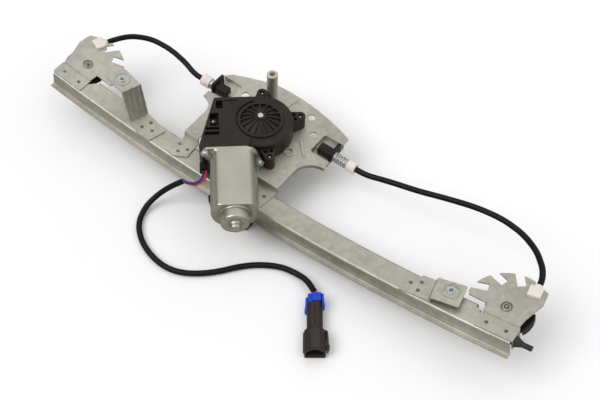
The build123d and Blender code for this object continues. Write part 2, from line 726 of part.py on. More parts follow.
for end in BRACKET_S:
    conduit_seat(end)


# Motor plate: pressed sheet with a pocket for each conduit's end, two risers and a spot-welded tab under each
with BuildPart() as motor_plate:
    with BuildSketch(plate_frame(0, 0, PLATE_LOW)):
        with BuildLine():
            waist_right = PLATE_ARC[0] - PLATE_ARC_RADIUS
            corner_right = (PLATE_RIGHT, PLATE_ARC[1] + PLATE_ARC_RADIUS)
            Polyline(
                (RISER_LEFT[0], RISER_Y),
                (RISER_LEFT[1], RISER_Y),
                (RISER_LEFT[1], FRONT_Y),
                (RISER_RIGHT[0] - PLATE_LIP, FRONT_Y),
                (RISER_RIGHT[0], RISER_Y),
                (RISER_RIGHT[1], RISER_Y),
                (waist_right, PLATE_ARC[1]),
            )
            ThreePointArc(
                (waist_right, PLATE_ARC[1]),
                polar(PLATE_ARC_RADIUS, 135, PLATE_ARC),
                (PLATE_ARC[0], PLATE_ARC[1] + PLATE_ARC_RADIUS),
            )
            Polyline(
                (PLATE_ARC[0], PLATE_ARC[1] + PLATE_ARC_RADIUS),
                (PLATE_ARC[0], POCKET_NEAR),
                (PLATE_RIGHT, POCKET_NEAR),
                (PLATE_RIGHT, PLATE_FAR_RIGHT),
            )
            ThreePointArc((PLATE_RIGHT, PLATE_FAR_RIGHT), PLATE_CROWN, PLATE_SHOULDERS[0])
            Polyline(*PLATE_SHOULDERS, (PLATE_LEFT, POCKET_FAR), (PLATE_LEFT, PLATE_NEAR_LEFT))
            ThreePointArc(
                (PLATE_LEFT, PLATE_NEAR_LEFT),
                ((PLATE_LEFT + 2 * RISER_LEFT[0]) / 3, (2 * PLATE_NEAR_LEFT + PLATE_WAIST) / 3),
                (RISER_LEFT[0], PLATE_WAIST),
            )
            Line((RISER_LEFT[0], PLATE_WAIST), (RISER_LEFT[0], RISER_Y))
        make_face()
    extrude(amount=PLATE_SHEET)
    with BuildSketch(plate_frame(0, 0, PLATE_TOP)):
        with Locations(PLATE_ARC):
            Circle(PLATE_ARC_RADIUS + PLATE_SHEET)
            Circle(PLATE_ARC_RADIUS, mode=Mode.SUBTRACT)
            Rectangle(
                2 * PLATE_ARC_RADIUS + 4 * PLATE_SHEET,
                2 * PLATE_ARC_RADIUS + 4 * PLATE_SHEET,
                align=(Align.MIN, Align.CENTER),
                mode=Mode.SUBTRACT,
            )
            Rectangle(
                4 * PLATE_ARC_RADIUS,
                2 * PLATE_ARC_RADIUS,
                align=(Align.CENTER, Align.MAX),
                mode=Mode.SUBTRACT,
            )
    extrude(amount=-PLATE_LIP)
    for pocket_in, pocket_out in ((POCKET_LEFT, PLATE_LEFT), (POCKET_RIGHT, PLATE_RIGHT)):
        outwards = 1 if pocket_out > pocket_in else -1
        middle = ((pocket_in + pocket_out) / 2, (POCKET_NEAR + POCKET_FAR) / 2)
        span = (abs(pocket_out - pocket_in), POCKET_FAR - POCKET_NEAR)
        with BuildSketch(plate_frame(middle[0], middle[1], PLATE_LOW - POCKET_DEPTH)) as tray:
            with Locations((-outwards * PLATE_SHEET / 2, 0)):
                Rectangle(span[0] + PLATE_SHEET, span[1] + 2 * PLATE_SHEET)
            fillet(tray.vertices().filter_by(lambda v: v.X * outwards < 0), 3 + PLATE_SHEET)
        extrude(amount=POCKET_DEPTH + PLATE_SHEET)
        with BuildSketch(plate_frame(middle[0], middle[1], PLATE_TOP - POCKET_DEPTH)) as hollow:
            with Locations((outwards * PLATE_SHEET, 0)):
                Rectangle(span[0] + 2 * PLATE_SHEET, span[1])
            fillet(hollow.vertices().filter_by(lambda v: v.X * outwards < 0), 3)
        extrude(amount=2 * POCKET_DEPTH, mode=Mode.SUBTRACT)
        cable_y = GEAR_Y + DRUM_RADIUS
        with BuildSketch(plate_frame(pocket_in, cable_y, PLATE_TOP - POCKET_DEPTH)):
            Rectangle(2 * POCKET_DEPTH, 2 * CABLE_SLOT)
        extrude(amount=POCKET_DEPTH - PLATE_SHEET, mode=Mode.SUBTRACT)
    for end, riser in (("left", RISER_LEFT), ("right", RISER_RIGHT)):
        tab = rail_plane(TAB_S[end], seat_lift(TAB_HALF))
        centre = TAB_S[end] - PLATE_S
        with BuildSketch(tab):
            with BuildLine():
                Polyline(*TAB_OUTLINE[end], close=True)
            make_face()
        extrude(amount=PLATE_SHEET)
        with BuildSketch(tab):
            with Locations(((riser[0] + riser[1]) / 2 - centre, RISER_Y)):
                Rectangle(riser[1] - riser[0], PLATE_SHEET, align=(Align.CENTER, Align.MAX))
        extrude(amount=PLATE_TOP + PLATE_SHEET)
        with BuildSketch(tab.offset(PLATE_SHEET)):
            with Locations(*TAB_SPOTS[end]):
                Circle(SPOT_RADIUS)
        extrude(amount=-SPOT_DEPTH, mode=Mode.SUBTRACT)
    split(bisect_by=plate_frame(0, 0, PLATE_TOP), keep=Keep.BOTTOM)
    for bead_from, bead_to in BEADS:
        heading = (Vector(*bead_to) - Vector(*bead_from))
        turn = degrees(atan2(heading.Y, heading.X))
        with BuildSketch(plate_frame(bead_from[0], bead_from[1], PLATE_TOP, turn)):
            with Locations((heading.length / 2, 0)):
                SlotCenterToCenter(heading.length, BEAD_WIDTH)
        extrude(amount=BEAD_RISE, taper=30)
    with BuildSketch(plate_frame(*COLLAR_HOLE, PLATE_TOP)):
        Circle(PLATE_HOLE_RADIUS + PLATE_SHEET)
    extrude(amount=COLLAR_RISE)
    with BuildSketch(plate_frame(0, 0, PLATE_LOW - PLATE_SHEET)):
        with Locations(*PLATE_HOLES, COLLAR_HOLE):
            Circle(PLATE_HOLE_RADIUS)
        with Locations((STANDOFF_X, STANDOFF_Y)):
            Circle(STANDOFF_FOOT)
        with Locations((GEAR_X, GEAR_Y)):
            Circle(DRIVE_OPENING)
    extrude(amount=2 * POCKET_DEPTH, mode=Mode.SUBTRACT)
    with BuildSketch(drive_plane(PLATE_LOW - PLATE_SHEET, CENTRE_DISTANCE)):
        with Locations(*[polar(LUG_REACH, angle) for angle in LUG_ANGLES]):
            Circle(LUG_SCREW + BASE_GAP)
    extrude(amount=2 * POCKET_DEPTH, mode=Mode.SUBTRACT)
keep(motor_plate, "motor_plate")

with BuildPart() as standoff:
    turned(
        plate_frame(STANDOFF_X, STANDOFF_Y, 0),
        (
            (STANDOFF_BORE, PLATE_LOW),
            (STANDOFF_FOOT, PLATE_LOW),
            (STANDOFF_FOOT, PLATE_TOP),
            (STANDOFF_RADIUS, PLATE_TOP),
            (STANDOFF_RADIUS, STANDOFF_TOP - 0.8),
            (STANDOFF_RADIUS - 0.8, STANDOFF_TOP),
            (STANDOFF_BORE, STANDOFF_TOP),
        ),
    )
keep(standoff, "standoff")


# Mount brackets: a strip bent up off the rail and trimmed to its outline, with a weld nut in its pad
def mount_bracket(end):
    """Bent strip on the rail's top face."""
    side = SIDE[end]
    foot = rail_plane(PAD_S[end], seat_lift(PAD_HALF))
    fold = Plane(foot.location * Location((*PAD_FOLD[end], 0), (0, 0, PAD_TURN[end])))
    nut = Plane(foot.location * Location((*PAD_NUT[end], PAD_LIFT[end])))
    lean = PAD_LEAN[end]
    rise = PAD_LIFT[end]
    across = PAD_SHEET * sqrt(lean**2 + rise**2) / rise
    with BuildPart() as strip:
        with BuildSketch(Plane(origin=fold.origin, x_dir=fold.x_dir * side, z_dir=-fold.y_dir * side)) as bend:
            with BuildLine():
                Polyline(
                    (-PAD_REACH, 0),
                    (0, 0),
                    (lean - across * PAD_SHEET / rise, rise - PAD_SHEET),
                    (PAD_REACH, rise - PAD_SHEET),
                    (PAD_REACH, rise),
                    (lean - across, rise),
                    (-across, PAD_SHEET),
                    (-PAD_REACH, PAD_SHEET),
                    close=True,
                )
            make_face()
        extrude(amount=PAD_REACH, both=True)
        if rise > 2 * PAD_REACH / 3:
            for flute in (-PAD_SHEET * 4, 0, PAD_SHEET * 4):
                low = fold.from_local_coords((side * -across / 2, flute, 2 * PAD_SHEET))
                high = fold.from_local_coords((side * (lean - across / 2), flute, rise - PAD_SHEET))
                with BuildSketch(Plane(origin=low, z_dir=high - low)):
                    Circle(PAD_SHEET)
                extrude(amount=(high - low).length)
        with BuildSketch(foot) as outline:
            with BuildLine():
                Polyline(*PAD_OUTLINE[end], close=True)
            make_face()
            fillet(outline.vertices(), 1.5)
        extrude(amount=rise + PAD_SHEET, mode=Mode.INTERSECT)
        with BuildSketch(nut):
            Circle(NUT_RING)
            Circle(NUT_RING - PAD_SHEET, mode=Mode.SUBTRACT)
        extrude(amount=PAD_SHEET / 2, taper=20)
        with BuildSketch(nut.offset(PAD_SHEET)):
            Circle(NUT_RADIUS - PAD_SHEET)
        extrude(amount=-3 * PAD_SHEET, mode=Mode.SUBTRACT)
    keep(strip, end + "_mount_bracket")
    with BuildPart() as weld_nut:
        with BuildSketch(nut.offset(-PAD_SHEET)):
            RegularPolygon(NUT_RADIUS, 4, major_radius=False)
        extrude(amount=-NUT_HEIGHT + 2 * PAD_SHEET)
        with BuildSketch(nut.offset(-PAD_SHEET)):
            Circle(NUT_RADIUS - PAD_SHEET)
        extrude(amount=2 * PAD_SHEET)
        with BuildSketch(nut.offset(2 * PAD_SHEET)):
            Circle(NUT_BORE)
        extrude(amount=-2 * NUT_HEIGHT, mode=Mode.SUBTRACT)
    keep(weld_nut, end + "_weld_nut")


for end in BRACKET_S:
    mount_bracket(end)


# Gearbox housing: a ribbed dome over the worm wheel and a raised body over the worm, open underneath
with BuildPart() as gearbox_housing:
    turned(
        drive_plane(0, CENTRE_DISTANCE),
        (
            (0, PLATE_TOP),
            (DISC_RADIUS, PLATE_TOP),
            (DISC_RADIUS, DISC_EDGE - 1),
            (DISC_RADIUS - 1, DISC_EDGE),
            (RING_RADIUS + 0.4, DISC_EDGE),
            (RING_RADIUS, RING_TOP),
            (RING_RADIUS - HOUSING_WALL, RING_TOP),
            (RING_RADIUS - HOUSING_WALL, RING_TOP - DOME_SINK),
            (HUB_RADIUS + 0.5, HUB_TOP - DOME_SINK),
            (HUB_RADIUS, HUB_TOP),
            (0, HUB_TOP),
        ),
    )
    gear_axis = drive_plane(0, CENTRE_DISTANCE)
    for step in range(SPOKES):
        heading = polar(1, step * 360 / SPOKES)
        radial = gear_axis.x_dir * heading[0] + gear_axis.y_dir * heading[1]
        with BuildSketch(Plane(origin=gear_axis.origin, x_dir=radial, z_dir=radial.cross(gear_axis.z_dir))):
            with BuildLine():
                Polyline(
                    (HUB_RADIUS - 1, HUB_TOP - 2 * DOME_SINK),
                    (HUB_RADIUS - 1, HUB_TOP - 0.6),
                    (RING_RADIUS - 1, RING_TOP - 0.6),
                    (RING_RADIUS - 1, RING_TOP - 1.5 * DOME_SINK),
                    close=True,
                )
            make_face()
        extrude(amount=SPOKE_WIDTH / 2, both=True)
    with BuildSketch(drive_plane(PLATE_TOP)) as body:
        with BuildLine():
            Polyline(*BODY_OUTLINE, close=True)
        make_face()
        fillet(body.vertices(), BODY_ROUND)
        with Locations((CENTRE_DISTANCE, 0)):
            Circle(RING_RADIUS + HOUSING_WALL, mode=Mode.SUBTRACT)
    extrude(amount=HOUSING_TOP - PLATE_TOP)
    for angle in LUG_ANGLES:
        arm = Plane(gear_axis.location * Location((0, 0, PLATE_TOP), (0, 0, angle)))
        with BuildSketch(arm):
            with Locations((LUG_REACH, 0)):
                Circle(LUG_RADIUS)
            with BuildLine():
                Polyline(
                    (0, -LUG_ROOT[1]),
                    (LUG_ROOT[0], -LUG_ROOT[1]),
                    (LUG_REACH, -LUG_RADIUS),
                    (LUG_REACH, LUG_RADIUS),
                    (LUG_ROOT[0], LUG_ROOT[1]),
                    (0, LUG_ROOT[1]),
                    close=True,
                )
            make_face()
        extrude(amount=LUG_TOP - PLATE_TOP)
        with BuildSketch(arm.offset(LUG_TOP - PLATE_TOP)):
            for side in (-1, 1):
                with BuildLine():
                    Polyline(*[(x, side * y) for x, y in LUG_POCKET], close=True)
                make_face()
        extrude(amount=-LUG_POCKET_DEPTH, mode=Mode.SUBTRACT)
    with BuildSketch(motor_plane(FACE_W - EAR_LENGTH)):
        with BuildLine():
            Polyline(*FLANGE_OUTLINE, close=True)
        make_face()
        with Locations((0, EAR_LOW)):
            Rectangle(4 * CAN_RADIUS, CAN_RADIUS, align=(Align.CENTER, Align.MAX), mode=Mode.SUBTRACT)
    extrude(amount=EAR_LENGTH)
    with BuildSketch(drive_plane(HOUSING_TOP)):
        for x, y, width, height in RECESSES:
            with Locations((x, y)):
                Rectangle(width, height)
        with Locations(RECESS_BOSS[:2]):
            Circle(RECESS_BOSS[2], mode=Mode.SUBTRACT)
    extrude(amount=-RECESS_DEPTH, mode=Mode.SUBTRACT)
    with BuildSketch(drive_plane(HOUSING_TOP)):
        with Locations(SHELF[:2]):
            Rectangle(*SHELF[2:4])
    extrude(amount=-SHELF[4], mode=Mode.SUBTRACT)
    turned_out = (
        (0, PLATE_TOP - 1),
        (BASE_RADIUS, PLATE_TOP - 1),
        (BASE_RADIUS, PLATE_TOP + BASE_SHEET),
        (WHEEL_CAVITY, PLATE_TOP + BASE_SHEET),
        (WHEEL_CAVITY, WHEEL_TOP + SIDE_GAP),
        (0, WHEEL_TOP + SIDE_GAP),
    )
    turned(drive_plane(0, CENTRE_DISTANCE), turned_out, Mode.SUBTRACT)
    with BuildSketch(motor_plane(SHAFT_BACK - WORM_BUSH[0])):
        Circle(WORM_BORE)
    extrude(amount=FACE_W - SHAFT_BACK + WORM_BUSH[0], mode=Mode.SUBTRACT)
    with BuildSketch(drive_plane(PLATE_TOP, CENTRE_DISTANCE)):
        Circle(AXLE_RADIUS)
    extrude(amount=2 * HUB_TOP, mode=Mode.SUBTRACT)
    for angle in LUG_ANGLES:
        with BuildSketch(drive_plane(LUG_TOP, CENTRE_DISTANCE)):
            with Locations(polar(LUG_REACH, angle)):
                Circle(LUG_SCREW)
        extrude(amount=-LUG_TOP, mode=Mode.SUBTRACT)
    with BuildSketch(motor_plane(FACE_W)):
        with Locations(*SCREW_AT):
            Circle(SCREW_RADIUS)
    extrude(amount=-SCREW_DEPTH, mode=Mode.SUBTRACT)
keep(gearbox_housing, "gearbox_housing")

with BuildPart() as gearbox_base:
    turned(
        drive_plane(0, CENTRE_DISTANCE),
        (
            (DRIVE_OPENING - BASE_GAP - BASE_SHEET, PLATE_TOP + BASE_SHEET),
            (BASE_RADIUS, PLATE_TOP + BASE_SHEET),
            (BASE_RADIUS, PLATE_TOP),
            (DRIVE_OPENING - BASE_GAP, PLATE_TOP),
            (DRIVE_OPENING - BASE_GAP, PLATE_LOW),
            (DRIVE_OPENING - BASE_GAP - BASE_SHEET, PLATE_LOW),
        ),
    )
keep(gearbox_base, "gearbox_base")

with BuildPart() as gear_axle:
    turned(
        drive_plane(0, CENTRE_DISTANCE),
        (
            (0, CUP_FLOOR),
            (AXLE_RADIUS, CUP_FLOOR),
            (AXLE_RADIUS, HUB_TOP),
            (AXLE_RADIUS - 0.6, HUB_TOP + 0.6),
            (0, HUB_TOP + 0.6),
        ),
    )
keep(gear_axle, "gear_axle")

with BuildPart() as gearbox_screws:
    for angle in LUG_ANGLES:
        place = polar(LUG_REACH, angle, (CENTRE_DISTANCE, 0))
        lug = drive_plane(0)
        centre = Plane(lug.location * Location((place[0], place[1], 0)))
        turned(
            centre,
            (
                (0, LUG_TOP),
                (LUG_SCREW - 0.5, LUG_TOP),
                (LUG_SCREW, LUG_TOP - 0.5),
                (LUG_SCREW, PLATE_LOW),
                (LUG_HEAD, PLATE_LOW),
                (LUG_HEAD, PLATE_LOW - LUG_SCREW),
                (0, PLATE_LOW - LUG_SCREW),
            ),
        )
keep(gearbox_screws, "gearbox_screws")

# Worm wheel, rubber bushes, drum with three pins, and the steel axle that they turn on
with BuildPart() as worm_wheel:
    turned(
        drive_plane(WORM_HEIGHT, CENTRE_DISTANCE),
        (
            (AXLE_RADIUS + RUNNING_GAP, HUB_LOW - WORM_HEIGHT),
            (WHEEL_HUB, HUB_LOW - WORM_HEIGHT),
            (WHEEL_HUB, -WHEEL_WEB),
            (WHEEL_ROOT - HOUSING_WALL, -WHEEL_WEB),
            (WHEEL_ROOT - HOUSING_WALL, -WHEEL_FACE / 2),
            (WHEEL_ROOT, -WHEEL_FACE / 2),
            (WHEEL_ROOT, WHEEL_FACE / 2),
            (WHEEL_ROOT - HOUSING_WALL, WHEEL_FACE / 2),
            (WHEEL_ROOT - HOUSING_WALL, WHEEL_WEB),
            (WHEEL_HUB, WHEEL_WEB),
            (WHEEL_HUB, WHEEL_FACE / 2),
            (AXLE_RADIUS + RUNNING_GAP, WHEEL_FACE / 2),
        ),
    )
    with BuildSketch(drive_plane(WORM_HEIGHT - WHEEL_FACE / 2, CENTRE_DISTANCE)):
        with PolarLocations(WHEEL_ROOT - 0.5, GEAR_TEETH):
            Polygon(
                (0, -TOOTH_HALF[0]),
                (WHEEL_TIP - WHEEL_ROOT + 0.5, -TOOTH_HALF[1]),
                (WHEEL_TIP - WHEEL_ROOT + 0.5, TOOTH_HALF[1]),
                (0, TOOTH_HALF[0]),
                align=None,
            )
    extrude(amount=WHEEL_FACE)
    with BuildSketch(drive_plane(HUB_LOW, CENTRE_DISTANCE)):
        with PolarLocations(BUSH_REACH, DAMPERS):
            Circle(BUSH_RADIUS)
    extrude(amount=WHEEL_TOP, mode=Mode.SUBTRACT)
keep(worm_wheel, "worm_wheel")

with BuildPart() as drive_dampers:
    with BuildSketch(drive_plane(WORM_HEIGHT - WHEEL_WEB, CENTRE_DISTANCE)):
        with PolarLocations(BUSH_REACH, DAMPERS):
            Circle(BUSH_RADIUS)
            Circle(AXLE_RADIUS, mode=Mode.SUBTRACT)
    extrude(amount=2 * WHEEL_WEB)
keep(drive_dampers, "drive_dampers")

with BuildPart() as cable_drum:
    bed = DRUM_RADIUS - CABLE_RADIUS
    turned(
        drive_plane(0, CENTRE_DISTANCE),
        (
            (AXLE_RADIUS + RUNNING_GAP, DRUM_LOW),
            (DRUM_FLANGE, DRUM_LOW),
            (DRUM_FLANGE, DRUM_GROOVES[0] - 2 * CABLE_RADIUS),
            (bed, DRUM_GROOVES[0] - CABLE_RADIUS),
            (bed, DRUM_GROOVES[0] + CABLE_RADIUS),
            (DRUM_FLANGE - CABLE_RADIUS, sum(DRUM_GROOVES) / 2),
            (bed, DRUM_GROOVES[1] - CABLE_RADIUS),
            (bed, DRUM_GROOVES[1] + CABLE_RADIUS),
            (DRUM_FLANGE, DRUM_HIGH - CABLE_RADIUS),
            (DRUM_FLANGE, DRUM_HIGH),
            (WHEEL_HUB, DRUM_HIGH),
            (WHEEL_HUB, HUB_LOW - RUNNING_GAP),
            (AXLE_RADIUS + RUNNING_GAP, HUB_LOW - RUNNING_GAP),
        ),
    )
    with BuildSketch(drive_plane(DRUM_HIGH - 1, CENTRE_DISTANCE)):
        with PolarLocations(BUSH_REACH, DAMPERS):
            Circle(AXLE_RADIUS)
    extrude(amount=WORM_HEIGHT + WHEEL_WEB - DRUM_HIGH + 1)
    with BuildSketch(drive_plane(DRUM_LOW, CENTRE_DISTANCE)):
        with PolarLocations(BUSH_REACH, 2 * DAMPERS):
            Circle(BUSH_RADIUS)
    extrude(amount=(DRUM_HIGH - DRUM_LOW) / 2, mode=Mode.SUBTRACT)
keep(cable_drum, "cable_drum")

with BuildPart() as cable_wraps:
    for level in DRUM_GROOVES:
        groove = drive_plane(level, CENTRE_DISTANCE)
        with BuildSketch(Plane(origin=groove.origin, x_dir=groove.x_dir, z_dir=-groove.y_dir)):
            with Locations((DRUM_RADIUS, 0)):
                Circle(CABLE_RADIUS)
        revolve(axis=Axis(groove.origin, groove.z_dir), revolution_arc=WRAP_ARC)
keep(cable_wraps, "cable_wraps")

with BuildPart() as drum_housing:
    inner = DRUM_CUP_RADIUS - DRUM_CUP_WALL
    turned(
        drive_plane(0, CENTRE_DISTANCE),
        (
            (AXLE_RADIUS, CUP_FLOOR),
            (DRUM_CUP_RADIUS, CUP_FLOOR),
            (DRUM_CUP_RADIUS, PLATE_LOW),
            (inner, PLATE_LOW),
            (inner, CUP_FLOOR + DRUM_CUP_WALL),
            (WHEEL_HUB, CUP_FLOOR + DRUM_CUP_WALL),
            (WHEEL_HUB, DRUM_LOW - RUNNING_GAP),
            (AXLE_RADIUS, DRUM_LOW - RUNNING_GAP),
        ),
    )
    with BuildSketch(plate_frame(GEAR_X, GEAR_Y, CUP_FLOOR + DRUM_CUP_WALL)):
        with Locations((0, DRUM_RADIUS)):
            Rectangle(4 * DRUM_CUP_RADIUS, 4 * CABLE_SLOT)
    extrude(amount=PLATE_LOW, mode=Mode.SUBTRACT)
    with BuildSketch(plate_frame(GEAR_X, GEAR_Y, CUP_FLOOR)):
        with PolarLocations(BUSH_REACH, CUP_HOLES):
            Circle(BUSH_RADIUS / 2)
    extrude(amount=PLATE_LOW, mode=Mode.SUBTRACT)
keep(drum_housing, "drum_housing")

# Motor: a drawn can, two magnets, the wound armature whose shaft carries the worm, and the brush gear
with BuildPart() as motor_can:
    with BuildSketch(motor_plane(FACE_W + FLANGE_SHEET)) as can_outline:
        Circle(CAN_RADIUS)
        Rectangle(2 * CAN_RADIUS, 2 * CAN_FLAT, mode=Mode.INTERSECT)
        fillet(can_outline.vertices(), CAN_ROUND)
    extrude(amount=CAN_END - FACE_W - FLANGE_SHEET)
    fillet(motor_can.edges().group_by(Axis(motor_plane(0).origin, motor_plane(0).z_dir))[-1], CAN_ROUND)
    with BuildSketch(motor_plane(FACE_W)):
        with BuildLine():
            Polyline(*FLANGE_OUTLINE, close=True)
        make_face()
    extrude(amount=FLANGE_SHEET)
    turned(
        motor_plane(0),
        (
            (0, CAN_END - CAN_WALL),
            (BOSS_RADIUS, CAN_END - CAN_WALL),
            (BOSS_RADIUS, BOSS_END - CAN_WALL),
            (BOSS_RADIUS - CAN_WALL, BOSS_END),
            (NUB_RADIUS + CAN_WALL, BOSS_END),
            (NUB_RADIUS, BOSS_END + CAN_WALL),
            (NUB_RADIUS - CAN_WALL / 2, NUB_END),
            (0, NUB_END),
        ),
    )
    with BuildSketch(motor_plane(FACE_W)):
        Circle(CAN_RADIUS - CAN_WALL)
        Rectangle(2 * CAN_RADIUS, 2 * (CAN_FLAT - CAN_WALL), mode=Mode.INTERSECT)
    extrude(amount=CAN_END - CAN_WALL - FACE_W, mode=Mode.SUBTRACT)
    turned(
        motor_plane(0),
        (
            (0, FACE_W),
            (BEARING_RADIUS, FACE_W),
            (BEARING_RADIUS, BOSS_END - CAN_WALL),
            (0, BOSS_END - CAN_WALL),
        ),
        Mode.SUBTRACT,
    )
    with BuildSketch(motor_plane(FACE_W)):
        with Locations(*SCREW_AT):
            Circle(SCREW_RADIUS)
    extrude(amount=FLANGE_SHEET, mode=Mode.SUBTRACT)
keep(motor_can, "motor_can")

with BuildPart() as can_bearing:
    with BuildSketch(motor_plane(BEARING[0])):
        Circle(BEARING_RADIUS)
        Circle(SHAFT_RADIUS + RUNNING_GAP, mode=Mode.SUBTRACT)
    extrude(amount=BEARING[1] - BEARING[0])
keep(can_bearing, "can_bearing")

with BuildPart() as worm_bush:
    with BuildSketch(motor_plane(SHAFT_BACK)):
        Circle(WORM_BORE)
        Circle(SHAFT_RADIUS + RUNNING_GAP, mode=Mode.SUBTRACT)
    extrude(amount=WORM_BUSH[0])
    with BuildSketch(motor_plane(FACE_W - WORM_BUSH[0])):
        Circle(WORM_BORE)
        Circle(SHAFT_RADIUS + RUNNING_GAP, mode=Mode.SUBTRACT)
    extrude(amount=WORM_BUSH[1])
keep(worm_bush, "worm_bush")

with BuildPart() as armature_shaft:
    with BuildSketch(motor_plane(SHAFT_BACK)):
        Circle(SHAFT_RADIUS)
    extrude(amount=BEARING[1] - SHAFT_BACK)
    pitch = pi * GEAR_MODULE
    thread_start = motor_plane(-pitch * WORM_LENGTH / 2)
    with BuildSketch(motor_plane(-pitch * (WORM_LENGTH + 1) / 2)):
        Circle(WORM_CORE)
    extrude(amount=pitch * (WORM_LENGTH + 1))
    lead_in = Plane(origin=(0, 0, 0), z_dir=thread_start.z_dir).x_dir
    phase = atan2(lead_in.dot(thread_start.y_dir), lead_in.dot(thread_start.x_dir)) / (2 * pi)
    thread_end = motor_plane(pitch * (phase - WORM_LENGTH / 2))
    with BuildLine() as thread:
        Helix(
            pitch=pitch,
            height=pitch * WORM_LENGTH,
            radius=WORM_CORE,
            center=thread_end.origin,
            direction=thread_end.z_dir,
        )
    with BuildSketch(Plane(origin=thread.line @ 0, x_dir=lead_in, z_dir=thread.line % 0)):
        Polygon(
            (-0.3, -WORM_TOOTH[0]),
            (-0.3, WORM_TOOTH[0]),
            (WORM_CREST, WORM_TOOTH[1]),
            (WORM_CREST, -WORM_TOOTH[1]),
            align=None,
        )
    sweep(path=thread.line, is_frenet=True)
keep(armature_shaft, "armature_shaft")

with BuildPart() as armature_core:
    with BuildSketch(motor_plane(CORE_START)):
        Circle(CORE_RADIUS)
        Circle(SHAFT_RADIUS, mode=Mode.SUBTRACT)
        with PolarLocations(CORE_RADIUS, ARMATURE_SLOTS):
            Rectangle(CORE_RADIUS / 2, SPOKE_WIDTH, mode=Mode.SUBTRACT)
    extrude(amount=CORE_END - CORE_START)
keep(armature_core, "armature_core")

with BuildPart() as commutator:
    with BuildSketch(motor_plane(COMMUTATOR[0])):
        Circle(COMMUTATOR_RADIUS)
        Circle(SHAFT_RADIUS, mode=Mode.SUBTRACT)
    extrude(amount=COMMUTATOR[1] - COMMUTATOR[0])
keep(commutator, "commutator")

with BuildPart() as magnets:
    with BuildSketch(motor_plane(CORE_START)):
        Circle(CAN_RADIUS - CAN_WALL)
        Circle(MAGNET_INNER, mode=Mode.SUBTRACT)
        Rectangle(2 * CAN_RADIUS, 2 * MAGNET_INNER * sin(radians(MAGNET_SPAN)), mode=Mode.INTERSECT)
    extrude(amount=CORE_END - CORE_START)
keep(magnets, "magnets")

with BuildPart() as brush_holder:
    with BuildSketch(motor_plane(HOLDER[0])):
        Circle(CAN_RADIUS - CAN_WALL)
        Rectangle(2 * CAN_RADIUS, 2 * (CAN_FLAT - CAN_WALL), mode=Mode.INTERSECT)
        Circle(COMMUTATOR_RADIUS + 1, mode=Mode.SUBTRACT)
    extrude(amount=HOLDER[1] - HOLDER[0])
keep(brush_holder, "brush_holder")

with BuildPart() as brushes:
    with BuildSketch(motor_plane(HOLDER[1])):
        with GridLocations(2 * COMMUTATOR_RADIUS + BRUSH_LENGTH + 2 * RUNNING_GAP, 0, 2, 1):
            Rectangle(BRUSH_LENGTH, BRUSH_WIDTH)
    extrude(amount=COMMUTATOR[1] - HOLDER[1] - 1)
keep(brushes, "brushes")

with BuildPart() as motor_screws:
    for place in SCREW_AT:
        seat = motor_plane(0)
        centre = Plane(seat.location * Location((place[0], place[1], 0)))
        turned(
            centre,
            (
                (0, FACE_W - SCREW_DEPTH),
                (SCREW_RADIUS, FACE_W - SCREW_DEPTH),
                (SCREW_RADIUS, FACE_W + FLANGE_SHEET),
                (SCREW_HEAD, FACE_W + FLANGE_SHEET),
                (SCREW_HEAD, FACE_W + FLANGE_SHEET + SCREW_RADIUS),
                (SCREW_HEAD - 1, FACE_W + FLANGE_SHEET + SCREW_RADIUS + 1),
                (0, FACE_W + FLANGE_SHEET + SCREW_RADIUS + 1),
            ),
        )
keep(motor_screws, "motor_screws")

with BuildPart() as motor_socket:
    with BuildSketch(motor_plane(FACE_W)) as block:
        with Locations(SOCKET_AT):
            Rectangle(*SOCKET_SIZE[:2])
        fillet(block.vertices(), 1)
    extrude(amount=SOCKET_SIZE[2])
keep(motor_socket, "motor_socket")


